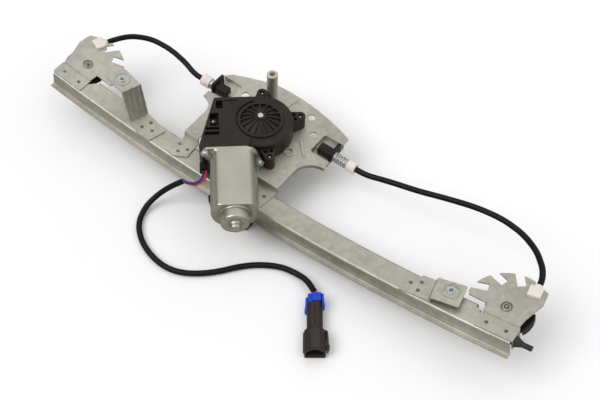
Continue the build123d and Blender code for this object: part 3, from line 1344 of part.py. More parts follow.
# Carrier: a moulded shoe that hooks over both flanges, a steel plate under it and a grooved pad for the glass
with BuildPart() as carrier_shoe:
    flange_edge = WEB_HALF + FLANGE_WIDTH + SHOE_GAP
    under = -RAIL_DEPTH - SHOE_GAP
    with BuildSketch(rail_section(CARRIER_S - CARRIER_HALF)):
        Polygon(
            (-flange_edge - SHOE_WALL, -RAIL_DEPTH - SHOE_LOW),
            (-flange_edge - SHOE_WALL, LIP_RISE - RAIL_DEPTH + RAIL_SHEET + SHOE_GAP),
            (-WEB_HALF - CHANNEL_GAP, LIP_RISE - RAIL_DEPTH + RAIL_SHEET + SHOE_GAP),
            (-WEB_HALF - CHANNEL_GAP, RAIL_SHEET + SHOE_GAP - RAIL_DEPTH),
            (-flange_edge, RAIL_SHEET + SHOE_GAP - RAIL_DEPTH),
            (-flange_edge, under),
            (-WEB_HALF + RAIL_SHEET + CHANNEL_GAP, under),
            (-WEB_HALF + RAIL_SHEET + CHANNEL_GAP, KEEL_TOP),
            (WEB_HALF - RAIL_SHEET - CHANNEL_GAP, KEEL_TOP),
            (WEB_HALF - RAIL_SHEET - CHANNEL_GAP, under),
            (flange_edge, under),
            (flange_edge, RAIL_SHEET + SHOE_GAP - RAIL_DEPTH),
            (WEB_HALF + CHANNEL_GAP, RAIL_SHEET + SHOE_GAP - RAIL_DEPTH),
            (WEB_HALF + CHANNEL_GAP, LIP_RISE - RAIL_DEPTH + RAIL_SHEET + SHOE_GAP),
            (flange_edge + SHOE_WALL, LIP_RISE - RAIL_DEPTH + RAIL_SHEET + SHOE_GAP),
            (flange_edge + SHOE_WALL, -RAIL_DEPTH - SHOE_LOW),
            align=None,
        )
    revolve(axis=RAIL_AXIS, revolution_arc=arc_degrees(2 * CARRIER_HALF))
    with BuildSketch(rail_plane(CARRIER_S, -RAIL_DEPTH - SHOE_LOW)):
        Rectangle(2 * CARRIER_HALF, 2 * (flange_edge + SHOE_WALL))
    extrude(amount=SHOE_LOW / 2)
    with BuildSketch(rail_section(CARRIER_S - CARRIER_HALF)):
        with Locations((CABLE_Y, CABLE_DEPTH)):
            Circle(CABLE_GROOVE / 2)
            Rectangle(CABLE_GROOVE, WEB_HALF, align=(Align.CENTER, Align.MIN))
    revolve(axis=RAIL_AXIS, revolution_arc=arc_degrees(2 * CARRIER_HALF), mode=Mode.SUBTRACT)
    for nipple_s in (CARRIER_S - NIPPLE_AT, CARRIER_S + NIPPLE_AT):
        with BuildSketch(rail_section(nipple_s)):
            with Locations((CABLE_Y, CABLE_DEPTH)):
                Circle(NIPPLE_RADIUS + SHOE_GAP / 3)
                Rectangle(
                    2 * NIPPLE_RADIUS + SHOE_GAP, WEB_HALF, align=(Align.CENTER, Align.MIN)
                )
        extrude(amount=NIPPLE_LENGTH / 2 + SHOE_GAP / 3, both=True, mode=Mode.SUBTRACT)
    with BuildSketch(rail_plane(CARRIER_S, -RAIL_DEPTH - SHOE_LOW)):
        with Locations(*CARRIER_BOLTS):
            Circle(CARRIER_BOLT_RADIUS)
    extrude(amount=SHOE_LOW, mode=Mode.SUBTRACT)
keep(carrier_shoe, "carrier_shoe")


def carrier_outline(inset):
    """Adds the outline of the carrier's plate, its corners rounded, and cuts its holes."""
    middle = (CARRIER_FAR + CARRIER_NEAR) / 2
    with Locations((0, middle)):
        RectangleRounded(2 * (CARRIER_HALF - inset), CARRIER_FAR - CARRIER_NEAR - 2 * inset, CARRIER_ROUND)
    with Locations(*CARRIER_BOLTS):
        Circle(CARRIER_BOLT_RADIUS, mode=Mode.SUBTRACT)
    with Locations(GLASS_HOLE):
        Circle(GLASS_BORE, mode=Mode.SUBTRACT)


with BuildPart() as carrier_plate:
    plate_level = -RAIL_DEPTH - SHOE_LOW
    with BuildSketch(rail_plane(CARRIER_S, plate_level)):
        carrier_outline(0)
    extrude(amount=-CARRIER_SHEET)
keep(carrier_plate, "carrier_plate")

with BuildPart() as glass_pad:
    with BuildSketch(rail_plane(CARRIER_S, plate_level - CARRIER_SHEET)):
        carrier_outline(PAD_INSET)
    extrude(amount=-PAD_THICKNESS)
    with BuildSketch(rail_plane(CARRIER_S, plate_level - CARRIER_SHEET - PAD_THICKNESS)):
        with Locations(*CARRIER_BOLTS):
            Circle(CARRIER_BOLT_HEAD + SHOE_GAP)
        with Locations((0, (CARRIER_FAR + CARRIER_NEAR) / 2)):
            with GridLocations(0, (CARRIER_FAR - CARRIER_NEAR) / PAD_GROOVES, 1, PAD_GROOVES - 1):
                Rectangle(4 * CARRIER_HALF, CARRIER_SHEET)
    extrude(amount=CARRIER_BOLT_FLOOR, mode=Mode.SUBTRACT)
    with BuildSketch(rail_plane(CARRIER_S, plate_level - CARRIER_SHEET - PAD_THICKNESS)):
        with Locations(*CARRIER_BOLTS):
            Circle(CARRIER_BOLT_HEAD + SHOE_GAP)
    extrude(amount=PAD_THICKNESS - 2 * CARRIER_BOLT_FLOOR, mode=Mode.SUBTRACT)
keep(glass_pad, "glass_pad")

with BuildPart() as carrier_bolts:
    bolt_seat = plate_level - CARRIER_SHEET - 2 * CARRIER_BOLT_FLOOR
    for place in CARRIER_BOLTS:
        with BuildSketch(rail_plane(CARRIER_S, bolt_seat)):
            with Locations(place):
                RegularPolygon(CARRIER_BOLT_HEAD, 6)
        extrude(amount=-CARRIER_BOLT_RADIUS)
        with BuildSketch(rail_plane(CARRIER_S, bolt_seat)):
            with Locations(place):
                Circle(CARRIER_BOLT_RADIUS)
        extrude(amount=2 * CARRIER_BOLT_FLOOR + CARRIER_SHEET + SHOE_LOW - SHOE_GAP)
keep(carrier_bolts, "carrier_bolts")

with BuildPart() as cable_nipples:
    for nipple_s in (CARRIER_S - NIPPLE_AT, CARRIER_S + NIPPLE_AT):
        with BuildSketch(rail_section(nipple_s)):
            with Locations((CABLE_Y, CABLE_DEPTH)):
                Circle(NIPPLE_RADIUS)
                Circle(CABLE_GROOVE / 2, mode=Mode.SUBTRACT)
        extrude(amount=NIPPLE_LENGTH / 2, both=True)
keep(cable_nipples, "cable_nipples")


# Clips, adjusters and springs where the conduits reach the plate's pockets
def adjuster_plane(x):
    """Plane square to the adjusters' axis, at x on the plate: x runs across, y off the plate."""
    across = plate_frame(x, GEAR_Y + DRUM_RADIUS, ADJUST_LEVEL)
    return Plane(origin=across.origin, x_dir=across.y_dir, z_dir=across.x_dir)


def adjuster_group(end):
    """Clip in the pocket's mouth, the threaded adjuster in it and the spring round that."""
    side = SIDE[end]
    edge = PLATE_LEFT if end == "left" else PLATE_RIGHT
    with BuildPart() as clip:
        with BuildSketch(plate_frame(edge, 0, PLATE_TOP - POCKET_DEPTH)) as bar:
            with Locations((-side * CLIP_THICK / 2, (CLIP_NEAR + CLIP_FAR) / 2)):
                Rectangle(CLIP_THICK, CLIP_FAR - CLIP_NEAR)
        extrude(amount=CLIP_TOP - PLATE_TOP + POCKET_DEPTH)
        with BuildSketch(plate_frame(edge, 0, PLATE_TOP - POCKET_DEPTH)):
            with Locations((-side * (CLIP_THICK + CLIP_STEM / 2), GEAR_Y + DRUM_RADIUS)):
                Rectangle(CLIP_STEM, CLIP_STEM_WIDTH)
        extrude(amount=CLIP_STEM_TOP - PLATE_TOP + POCKET_DEPTH)
        with BuildSketch(adjuster_plane(edge)):
            Circle(ADJUST_RADIUS)
        extrude(amount=-side * (CLIP_THICK + CLIP_STEM / 2), mode=Mode.SUBTRACT)
        with BuildSketch(adjuster_plane(edge)):
            Circle(CLIP_BORE)
        extrude(amount=-side * 2 * CLIP_STEM, mode=Mode.SUBTRACT)
    keep(clip, end + "_cable_clip")
    with BuildPart() as adjuster:
        with BuildSketch(adjuster_plane(edge - side * (CLIP_THICK + CLIP_STEM / 2))):
            Circle(ADJUST_RADIUS)
        extrude(amount=side * (abs(CAP_IN[end] - edge) + CLIP_THICK + CLIP_STEM / 2))
        with BuildSketch(adjuster_plane(CAP_IN[end])):
            Circle(CAP_RADIUS)
        extrude(amount=side * abs(CAP_OUT[end] - CAP_IN[end]))
        along = Axis(adjuster_plane(0).origin, adjuster_plane(0).z_dir)
        fillet(adjuster.edges().group_by(along)[-1 if side > 0 else 0], CAP_ROUND)
        with BuildSketch(adjuster_plane(CAP_OUT[end])):
            Circle(CONDUIT_RADIUS)
        extrude(amount=-side * CAP_SOCKET, mode=Mode.SUBTRACT)
        with BuildSketch(adjuster_plane(CAP_OUT[end])):
            Circle(CONDUIT_BORE)
        extrude(amount=-side * 4 * CLIP_STEM, mode=Mode.SUBTRACT)
    keep(adjuster, end + "_adjuster")
    length = abs(CAP_IN[end] - edge)
    pitch = length / SPRING_COUNT[end]
    with BuildPart() as spring:
        for turn in range(SPRING_COUNT[end]):
            turned(
                adjuster_plane(edge + side * pitch * (turn + 0.5)),
                (
                    (ADJUST_RADIUS, -pitch / 2),
                    (SPRING_RADIUS - SPRING_WIRE, -pitch / 2),
                    (SPRING_RADIUS, -pitch / 5),
                    (SPRING_RADIUS, pitch / 5),
                    (SPRING_RADIUS - SPRING_WIRE, pitch / 2),
                    (ADJUST_RADIUS, pitch / 2),
                ),
            )
    keep(spring, end + "_adjuster_spring")


for end in BRACKET_S:
    adjuster_group(end)


# Conduits and the two cables: straight runs joined by tangent arcs
def corner_radii(route):
    """Radius of the arc at each inner corner, from the shorter run beside it and the turn there."""
    radii = []
    for before, corner, after in zip(route, route[1:], route[2:]):
        into = Vector(*corner) - Vector(*before)
        out = Vector(*after) - Vector(*corner)
        shorter = min(into.length, out.length)
        radii.append(ROUTE_SHARE * shorter / tan(radians(into.get_angle(out)) / 2))
    return radii


def along_route(route, radius, bore, name):
    """Adds a round section swept along a route, hollow where it has a bore."""
    points = [Vector(*point) for point in route]
    radii = corner_radii(points)
    with BuildLine() as path:
        FilletPolyline(*points, radius=radii)
    line = path.wire()
    with BuildSketch(Plane(origin=line @ 0, z_dir=line % 0)) as section:
        Circle(radius)
        if bore:
            Circle(bore, mode=Mode.SUBTRACT)
    sweep(section.sketch, path=line)
    print(name, "length", round(line.length, 1), "radii", [round(value, 1) for value in radii])


def conduit_points(end):
    """Conduit's route, from its seat over the end pulley to its adjuster."""
    seat_end = seat_plane(end, SEAT_REACH - SEAT_LENGTH / 6, SEAT_LIFT)
    lead = seat_plane(end, SEAT_REACH + SEAT_LENGTH / 2 + SEAT_COLLAR + CONDUIT_LEAD, SEAT_LIFT)
    side = SIDE[end]
    cap = adjuster_plane(CAP_OUT[end] + side * ADJUST_LEAD)
    socket = adjuster_plane(CAP_OUT[end] - side * CAP_SOCKET)
    route = list(CONDUIT_ROUTE[end])
    if end == "right":
        route.reverse()
    return [seat_end.origin, lead.origin, *route, cap.origin, socket.origin]


def cable(end):
    """Cable from its nipple in the channel, round the end pulley and through the conduit to the drum."""
    side = SIDE[end]
    pulley_s = BRACKET_S[end] + side * PULLEY_T
    cable_s = CARRIER_S + side * (NIPPLE_AT - NIPPLE_LENGTH / 4)
    with BuildPart() as line:
        with BuildSketch(rail_section(cable_s)) as section:
            with Locations((CABLE_Y, CABLE_DEPTH)):
                Circle(CABLE_RADIUS)
        run = arc_degrees(abs(pulley_s - cable_s))
        revolve(axis=RAIL_AXIS, revolution_arc=side * run)
    with BuildPart() as wrap:
        centre = bracket_plane(end, PULLEY_T, PULLEY_Y, CABLE_DEPTH)
        start = bracket_plane(end, PULLEY_T, CABLE_Y, CABLE_DEPTH)
        with BuildSketch(Plane(origin=start.origin, x_dir=start.y_dir, z_dir=start.x_dir)):
            Circle(CABLE_RADIUS)
        revolve(axis=Axis(centre.origin, centre.z_dir), revolution_arc=side * (90 + SEAT_TURN[end]))
    tangent = seat_plane(end, 0, CABLE_DEPTH)
    clear = seat_plane(end, sqrt(PULLEY_RADIUS**2 - CABLE_WRAP**2), CABLE_DEPTH)
    seat_in = seat_plane(end, SEAT_REACH - SEAT_LENGTH / 2, SEAT_LIFT)
    edge = PLATE_LEFT if end == "left" else PLATE_RIGHT
    bush = adjuster_plane(edge - side * (CLIP_THICK + CLIP_STEM))
    groove = DRUM_GROOVES[0 if side > 0 else 1]
    drum_side = plate_frame(GEAR_X + side * DRUM_LEAD, GEAR_Y + DRUM_RADIUS, groove)
    with BuildPart() as inner:
        route = [tangent.origin, clear.origin, seat_in.origin, *conduit_points(end)[1:-1]]
        route += [bush.origin, drum_side.origin]
        along_route(route, CABLE_RADIUS, 0, end + " cable")
    whole = Compound(children=[line.part, wrap.part, inner.part], label=end + "_cable")
    export_step(whole, "parts/" + end + "_cable.step")


for end in BRACKET_S:
    with BuildPart() as conduit:
        along_route(conduit_points(end), CONDUIT_RADIUS, CONDUIT_BORE, end + " conduit")
    keep(conduit, end + "_conduit")
    cable(end)


# Harness: two wires from the motor's socket into a sheath that lies free, and a plug at its end
with BuildPart() as harness_sheath:
    along_route(SHEATH_ROUTE, SHEATH_RADIUS, 0, "harness sheath")
keep(harness_sheath, "harness_sheath")

for name, shift in (("wire_blue", -WIRE_SPREAD / 2), ("wire_red", WIRE_SPREAD / 2)):
    socket_face = motor_plane(FACE_W + SOCKET_SIZE[2])
    start = socket_face.from_local_coords((SOCKET_AT[0] + shift, SOCKET_AT[1], 0))
    sheath_start = Vector(*SHEATH_ROUTE[0])
    into = (Vector(*SHEATH_ROUTE[1]) - sheath_start).normalized()
    over = into.cross(Vector(0, 0, 1)).cross(into).normalized() * -shift
    lead = start + socket_face.z_dir * WIRE_LEAD
    middle = [Vector(*point) + over for point in WIRE_ROUTE]
    with BuildPart() as wire:
        along_route([start, lead, *middle, sheath_start + over - into * WIRE_GAP], WIRE_RADIUS, 0, name)
    keep(wire, name)


def plug_plane(along, height=0.0):
    """Plane level with the surface under the plug, at a distance along its axis; x runs along that."""
    place = polar(along, CONNECTOR_TURN, CONNECTOR_AT)
    return Plane(Location((place[0], place[1], CONNECTOR_LIFT + height), (0, 0, CONNECTOR_TURN)))


with BuildPart() as connector_lock:
    with BuildSketch(plug_plane(-LOCK_LENGTH / 2)) as frame:
        Rectangle(LOCK_LENGTH, LOCK_WIDTH, align=(Align.MIN, Align.CENTER))
        fillet(frame.vertices(), 1)
    extrude(amount=LOCK_HEIGHT)
    with BuildSketch(plug_plane(-LOCK_LENGTH / 2, LOCK_HEIGHT)):
        with GridLocations(0, LOCK_WIDTH - 4, 1, 2):
            Rectangle(LOCK_LENGTH / 2, 3, align=(Align.MIN, Align.CENTER))
    extrude(amount=3)
keep(connector_lock, "connector_lock")

with BuildPart() as connector_body:
    with BuildSketch(plug_plane(LOCK_LENGTH / 2)) as barrel:
        Rectangle(BODY_LENGTH, BODY_WIDTH, align=(Align.MIN, Align.CENTER))
    extrude(amount=BODY_HEIGHT)
    with BuildSketch(plug_plane(LOCK_LENGTH / 2 + BODY_LENGTH)) as shroud:
        Rectangle(SHROUD_LENGTH, SHROUD_WIDTH, align=(Align.MIN, Align.CENTER))
        fillet(shroud.vertices(), 1.5)
    extrude(amount=SHROUD_HEIGHT)
    with BuildSketch(plug_plane(LOCK_LENGTH / 2 + BODY_LENGTH + SHROUD_WALL, SHROUD_WALL)):
        Rectangle(SHROUD_LENGTH, SHROUD_WIDTH - 2 * SHROUD_WALL, align=(Align.MIN, Align.CENTER))
    extrude(amount=SHROUD_HEIGHT - 2 * SHROUD_WALL, mode=Mode.SUBTRACT)
    for rib in (0.25, 0.5, 0.75):
        with BuildSketch(plug_plane(LOCK_LENGTH / 2 + rib * BODY_LENGTH, BODY_HEIGHT)):
            Rectangle(TERMINAL_WIDTH / 2, BODY_WIDTH)
        extrude(amount=SHROUD_WALL / 2)
    with BuildSketch(plug_plane(LOCK_LENGTH / 2 + BODY_LENGTH / 2, BODY_HEIGHT)):
        Rectangle(BODY_LENGTH, TERMINAL_PITCH, align=(Align.MIN, Align.CENTER))
    extrude(amount=SHROUD_HEIGHT - BODY_HEIGHT + SHROUD_WALL)
keep(connector_body, "connector_body")

with BuildPart() as connector_terminals:
    with BuildSketch(plug_plane(LOCK_LENGTH / 2 + BODY_LENGTH + SHROUD_WALL, SHROUD_HEIGHT / 2)):
        with GridLocations(0, TERMINAL_PITCH, 1, 2):
            Rectangle(SHROUD_LENGTH - 4 * SHROUD_WALL, TERMINAL_WIDTH, align=(Align.MIN, Align.CENTER))
    extrude(amount=TERMINAL_THICK)
keep(connector_terminals, "connector_terminals")

with BuildPart() as connector_wires:
    for shift in (-WIRE_SPREAD / 2, WIRE_SPREAD / 2):
        entry = plug_plane(-LOCK_LENGTH / 2, SHEATH_ROUTE[-1][2]).from_local_coords((0, 2 * shift, 0))
        leave = Vector(*SHEATH_ROUTE[-1])
        heading = (leave - Vector(*SHEATH_ROUTE[-2])).normalized()
        leave = leave + heading.cross(Vector(0, 0, -1)) * shift + heading * WIRE_RADIUS
        with BuildSketch(Plane(origin=leave, z_dir=entry - leave)):
            Circle(WIRE_RADIUS)
        extrude(amount=(entry - leave).length - WIRE_RADIUS)
keep(connector_wires, "connector_wires")

# Rubber stop at the right end of the rail
with BuildPart() as end_bumper:
    stop = bracket_plane("right", END_SETBACK + TAB_CLEARANCE, BUMPER_Y, BUMPER_DEPTH)
    turned(
        Plane(origin=stop.origin, x_dir=stop.y_dir, z_dir=stop.x_dir),
        (
            (0, -BUMPER_HEAD),
            (BUMPER_RADIUS, -BUMPER_HEAD),
            (BUMPER_RADIUS, 0),
            (BUMPER_NECK, 0),
            (BUMPER_NECK, BRACKET_SHEET),
            (BUMPER_RADIUS + 1, BRACKET_SHEET),
            (BUMPER_NECK, BUMPER_TAIL / 2),
            (BUMPER_NECK, BUMPER_TAIL),
            (0, BUMPER_TAIL),
        ),
    )
keep(end_bumper, "end_bumper")
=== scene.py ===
"""Blender scene of a motor-driven window regulator.

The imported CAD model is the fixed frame: its solids stay where they are and take procedural
finishes, and the surfaces worked out here stand for the solids whose real shape is finer. Sizes in
the classes are in millimetres in the part's own frame, +Z up, X along the guide rail; a piece's
mesh is in metres.
"""
import logging
import math
from dataclasses import dataclass, field
from enum import Enum
from functools import cache, reduce

import bpy
import numpy as np
from bpy.types import ID, Material, Node, NodeSocket, NodeTree, Object
from mathutils import Euler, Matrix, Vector
from numpy.typing import ArrayLike


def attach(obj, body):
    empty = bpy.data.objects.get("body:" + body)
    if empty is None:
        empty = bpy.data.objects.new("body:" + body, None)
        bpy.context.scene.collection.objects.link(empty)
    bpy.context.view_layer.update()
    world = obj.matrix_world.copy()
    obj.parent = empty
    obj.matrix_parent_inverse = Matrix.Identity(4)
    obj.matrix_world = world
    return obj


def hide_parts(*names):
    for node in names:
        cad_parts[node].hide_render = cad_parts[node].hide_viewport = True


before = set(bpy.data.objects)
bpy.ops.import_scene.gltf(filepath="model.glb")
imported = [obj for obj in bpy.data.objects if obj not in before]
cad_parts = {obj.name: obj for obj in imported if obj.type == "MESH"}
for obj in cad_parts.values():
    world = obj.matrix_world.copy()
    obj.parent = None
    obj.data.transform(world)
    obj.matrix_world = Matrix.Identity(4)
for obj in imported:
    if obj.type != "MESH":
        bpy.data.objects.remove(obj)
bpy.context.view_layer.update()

Triple = tuple[float, float, float]

logging.basicConfig(level=logging.INFO, format="%(message)s")
LOG = logging.getLogger("window_regulator")
MM = 0.001
PER_METRE = 1000
# Noise lies mostly between these levels; its clouds are nine grains and 12 mm wide
NOISE_LOW, NOISE_HIGH = 0.3, 0.7
CLOUD_GRAINS, CLOUD_MM = 9, 12
# Width of the streaks that rolls and dies leave, in millimetres
STREAK_MM = 1.2
# Divides the Wave node's scale: the bands of a 1 mm grain then lie about 7 mm apart
WAVE_DIVISOR = 20
# Points round a turned surface, and rings in one pitch of a thread
AROUND = 96
PITCH_RINGS = 8
# Share of a sloped box's half width that its flat ridge takes
RIDGE_SHARE = 0.36


def linear(code: str) -> tuple[float, float, float, float]:
    """Linear colour of an sRGB hex value.

    Args:
        code: sRGB colour as #RRGGBB.

    Returns:
        Red, green, blue and alpha, by the sRGB curve: a straight foot, then a power of 2.4.
    """
    parts = [int(code[i : i + 2], 16) / 255 for i in (1, 3, 5)]
    light = [p / 12.92 if p <= 0.04045 else ((p + 0.055) / 1.055) ** 2.4 for p in parts]
    return (*light, 1.0)


def add_node(
    tree: NodeTree, kind: str, inputs: dict | None = None, **settings: object
) -> Node:
    """Adds a node with its settings, and its inputs as values or links.

    Args:
        tree: Node tree that gets the node.
        kind: Node's class name.
        inputs: Value or output socket for each input, by its name or number.
        **settings: Properties of the node.

    Returns:
        The new node.
    """
    node = tree.nodes.new(kind)
    for name, value in settings.items():
        setattr(node, name, value)
    for key, value in (inputs or {}).items():
        if isinstance(value, NodeSocket):
            tree.links.new(value, node.inputs[key])
        else:
            node.inputs[key].default_value = value
    return node


class Making(Enum):
    """How a surface was made, which sets the pattern on it."""

    GALVANISED = "zinc crystals on rolled sheet"
    DRAWN = "fine streaks along the drawing direction"
    MOULDED = "fine eroded grain with flow clouds"
    STRANDED = "wires twisted into a cable"


# Streaks' width over their length
STREAKED = {Making.GALVANISED: 0.08, Making.DRAWN: 0.04}


@dataclass(frozen=True)
class Finish:
    """One real finish.

    colour and shade are its two tones, and contrast is how much its pattern adds to their mix;
    grain and relief are the pattern's size and depth in millimetres; heading is the direction of
    its streaks in degrees about Z.
    """

    name: str
    making: Making
    colour: str
    shade: str
    roughness: tuple[float, float]
    grain: float
    relief: float
    metallic: float = 0.0
    contrast: float = 0.5
    heading: float = 0.0
    subsurface: float = 0.0
    specular: float = 0.5

    @cache
    def material(self) -> Material:
        """Material of this finish, made once.

        Returns:
            A node material: two tones mixed by the pattern, with its roughness and bump.
        """
        made = bpy.data.materials.new(self.name)
        made.use_nodes = True
        tree = made.node_tree
        tree.nodes.clear()
        place = add_node(tree, "ShaderNodeTexCoord").outputs["Object"]
        fine, height = self.pattern(tree, place)
        cloud = add_node(tree, "ShaderNodeTexNoise", {
            "Vector": place, "Scale": PER_METRE / (self.grain * CLOUD_GRAINS + CLOUD_MM),
            "Detail": 4.0}).outputs["Fac"]
        blended = add_node(
            tree, "ShaderNodeMath", {0: fine, 1: self.contrast, 2: cloud},
            operation="MULTIPLY_ADD").outputs[0]
        factor = add_node(tree, "ShaderNodeMapRange", {
            "Value": blended, "From Min": NOISE_LOW,
            "From Max": NOISE_HIGH + self.contrast}).outputs["Result"]
        tone = add_node(
            tree, "ShaderNodeMix", {0: factor, 6: linear(self.colour), 7: linear(self.shade)},
            data_type="RGBA").outputs[2]
        rough = add_node(tree, "ShaderNodeMapRange", {
            "Value": cloud, "From Min": NOISE_LOW, "From Max": NOISE_HIGH,
            "To Min": self.roughness[0], "To Max": self.roughness[1]}).outputs["Result"]
        bump = add_node(tree, "ShaderNodeBump", {
            "Height": height, "Distance": self.relief * MM, "Strength": 1.0}).outputs["Normal"]
        shader = add_node(tree, "ShaderNodeBsdfPrincipled", {
            "Base Color": tone, "Roughness": rough, "Normal": bump, "Metallic": self.metallic,
            "Specular IOR Level": self.specular, "Subsurface Weight": self.subsurface,
            "Subsurface Radius": (2 * MM, 1.6 * MM, 1.2 * MM), "Subsurface Scale": 1.0})
        add_node(tree, "ShaderNodeOutputMaterial", {"Surface": shader.outputs["BSDF"]})
        return made

    def pattern(self, tree: NodeTree, place: NodeSocket) -> tuple[NodeSocket, NodeSocket]:
        """Adds the nodes of this finish's own pattern; streaks are noise drawn out along it.

        Args:
            tree: Material's node tree.
            place: Object coordinates.

        Returns:
            The tone's pattern and the relief's height, both about 0 to 1.
        """
        scale = PER_METRE / self.grain
        if self.making in STREAKED:
            turned = add_node(tree, "ShaderNodeMapping", {
                "Vector": place, "Rotation": (0, 0, math.radians(-self.heading))})
            drawn = add_node(tree, "ShaderNodeMapping", {
                "Vector": turned.outputs["Vector"], "Scale": (STREAKED[self.making], 1, 1)})
            streaks = add_node(tree, "ShaderNodeTexNoise", {
                "Vector": drawn.outputs["Vector"], "Scale": PER_METRE / STREAK_MM,
                "Detail": 2.0}).outputs["Fac"]
            if self.making is Making.DRAWN:
                return streaks, streaks
            cells = add_node(
                tree, "ShaderNodeTexVoronoi", {"Vector": place, "Scale": scale}).outputs["Color"]
            return cells, streaks
        if self.making is Making.STRANDED:
            bands = add_node(
                tree, "ShaderNodeTexWave",
                {"Vector": place, "Scale": scale / WAVE_DIVISOR, "Distortion": 0.4},
                bands_direction="DIAGONAL").outputs["Fac"]
            return bands, bands
        grit = add_node(tree, "ShaderNodeTexNoise", {
            "Vector": place, "Scale": scale, "Detail": 3.0}).outputs["Fac"]
        return grit, grit


# Hot-dip zinc on cold-rolled steel: matt grey with faint crystals and rolling streaks
ZINC_SHEET = Finish(
    "galvanised_sheet", Making.GALVANISED, "#D0CDC3", "#AFACA2", (0.48, 0.62), 5.0, 0.012,
    metallic=1.0, contrast=0.45)
# Nickel-grey plated deep-drawn can: satin, streaked along its axis
DRAWN_CAN = Finish(
    "drawn_plated_can", Making.DRAWN, "#CBC7BB", "#B0AC9F", (0.3, 0.4), 3.0, 0.005,
    metallic=1.0, heading=-50.0)
# Blue-passivated zinc on turned and headed steel: bright with a cold tint
BLUE_ZINC = Finish(
    "blue_passivated_fastener", Making.DRAWN, "#DDE3E6", "#C0C8CC", (0.24, 0.36), 1.5, 0.008,
    metallic=1.0)
# Turned free-cutting steel with a satin zinc coat: soft vertical sheen
SATIN_ZINC = Finish(
    "satin_zinc_turned", Making.DRAWN, "#D6D5CF", "#BDBBB5", (0.5, 0.6), 1.5, 0.01, metallic=1.0)
# Upset steel rivet, painted darker than the sheet all over: painted shade that stands for the dark
# ring in its grooved head
RIVET_STEEL_PAINTED_SHADE = Finish(
    "rivet_steel_painted_shade", Making.DRAWN, "#A5A093", "#7B766B", (0.3, 0.42), 1.5, 0.01, metallic=1.0)
# Spot weld: the electrode burns the zinc to a darker, duller ring
WELD_MARK = Finish(
    "spot_weld_mark", Making.GALVANISED, "#8A857B", "#5E5A52", (0.45, 0.6), 2.0, 0.02,
    metallic=1.0)
# Yellow-passivated zinc inside the standoff: straw gold
YELLOW_ZINC = Finish(
    "yellow_passivated_thread", Making.DRAWN, "#D8C47C", "#B79C4C", (0.25, 0.36), 1.5, 0.01,
    metallic=1.0)
# Galvanised strand: grey twisted wires of 0.3 mm, drawn far coarser so that they show
STRAND = Finish(
    "galvanised_strand", Making.STRANDED, "#B4B4AF", "#6B6B68", (0.35, 0.5), 1.0, 0.12,
    metallic=1.0, contrast=1.0)
# Polyester moulding of the plug: brown-black, smoother than the gearbox, so its ridges catch light
PLUG_BROWN = Finish(
    "plug_polyester", Making.MOULDED, "#352B26", "#261E1A", (0.26, 0.36), 0.8, 0.01, specular=0.45)
# Glass-filled polyamide, eroded mould: brown-black with a soft sheen
HOUSING = Finish(
    "glass_filled_polyamide", Making.MOULDED, "#2E2622", "#201A17", (0.42, 0.56), 0.7, 0.03,
    contrast=0.6, specular=0.28)
# Unfilled acetal: near black, smoother than the housing
BLACK_ACETAL = Finish(
    "black_acetal", Making.MOULDED, "#1B1513", "#130F0D", (0.34, 0.46), 0.9, 0.012, specular=0.28)
# Natural acetal: milky, lets a little light in, slightly pink as aged parts are
WHITE_ACETAL = Finish(
    "natural_acetal", Making.MOULDED, "#EFE8E1", "#E2D9D0", (0.38, 0.5), 1.2, 0.012,
    contrast=0.4, subsurface=0.2)
# Extruded polypropylene conduit: black-brown, satin
CONDUIT = Finish(
    "extruded_conduit", Making.DRAWN, "#15100F", "#0D0A09", (0.34, 0.46), 2.0, 0.01, specular=0.2)
# Soft vinyl sleeve of the harness: black-brown with a broad highlight
VINYL = Finish(
    "vinyl_sleeve", Making.MOULDED, "#19120F", "#0F0B09", (0.38, 0.52), 2.4, 0.03,
    contrast=0.6, specular=0.22)
# Moulded rubber: matt, faintly dusty
RUBBER = Finish(
    "moulded_rubber", Making.MOULDED, "#2B2826", "#1D1B1A", (0.62, 0.78), 0.8, 0.03)
# Sintered bronze and stamped brass: dull warm metal
BRONZE = Finish(
    "sintered_bronze", Making.MOULDED, "#A98556", "#7D5F3A", (0.4, 0.55), 0.6, 0.02, metallic=1.0)
# Sintered ferrite and brush carbon: charcoal, matt
FERRITE = Finish(
    "sintered_ferrite", Making.MOULDED, "#4B4A48", "#353433", (0.6, 0.75), 0.5, 0.02)
# Moulded thermoplastic polyester: saturated blue, half gloss
LOCK_BLUE = Finish(
    "blue_polyester", Making.MOULDED, "#0647DC", "#0535AC", (0.32, 0.42), 0.8, 0.01, contrast=0.4)
# Vinyl insulation extruded over the wire: dark blue, soft gloss
WIRE_BLUE = Finish(
    "blue_wire_vinyl", Making.MOULDED, "#2C3596", "#232A7A", (0.34, 0.44), 1.5, 0.01)
# The same insulation in signal red
WIRE_RED = Finish(
    "red_wire_vinyl", Making.MOULDED, "#CF3F35", "#B23229", (0.34, 0.44), 1.5, 0.01)

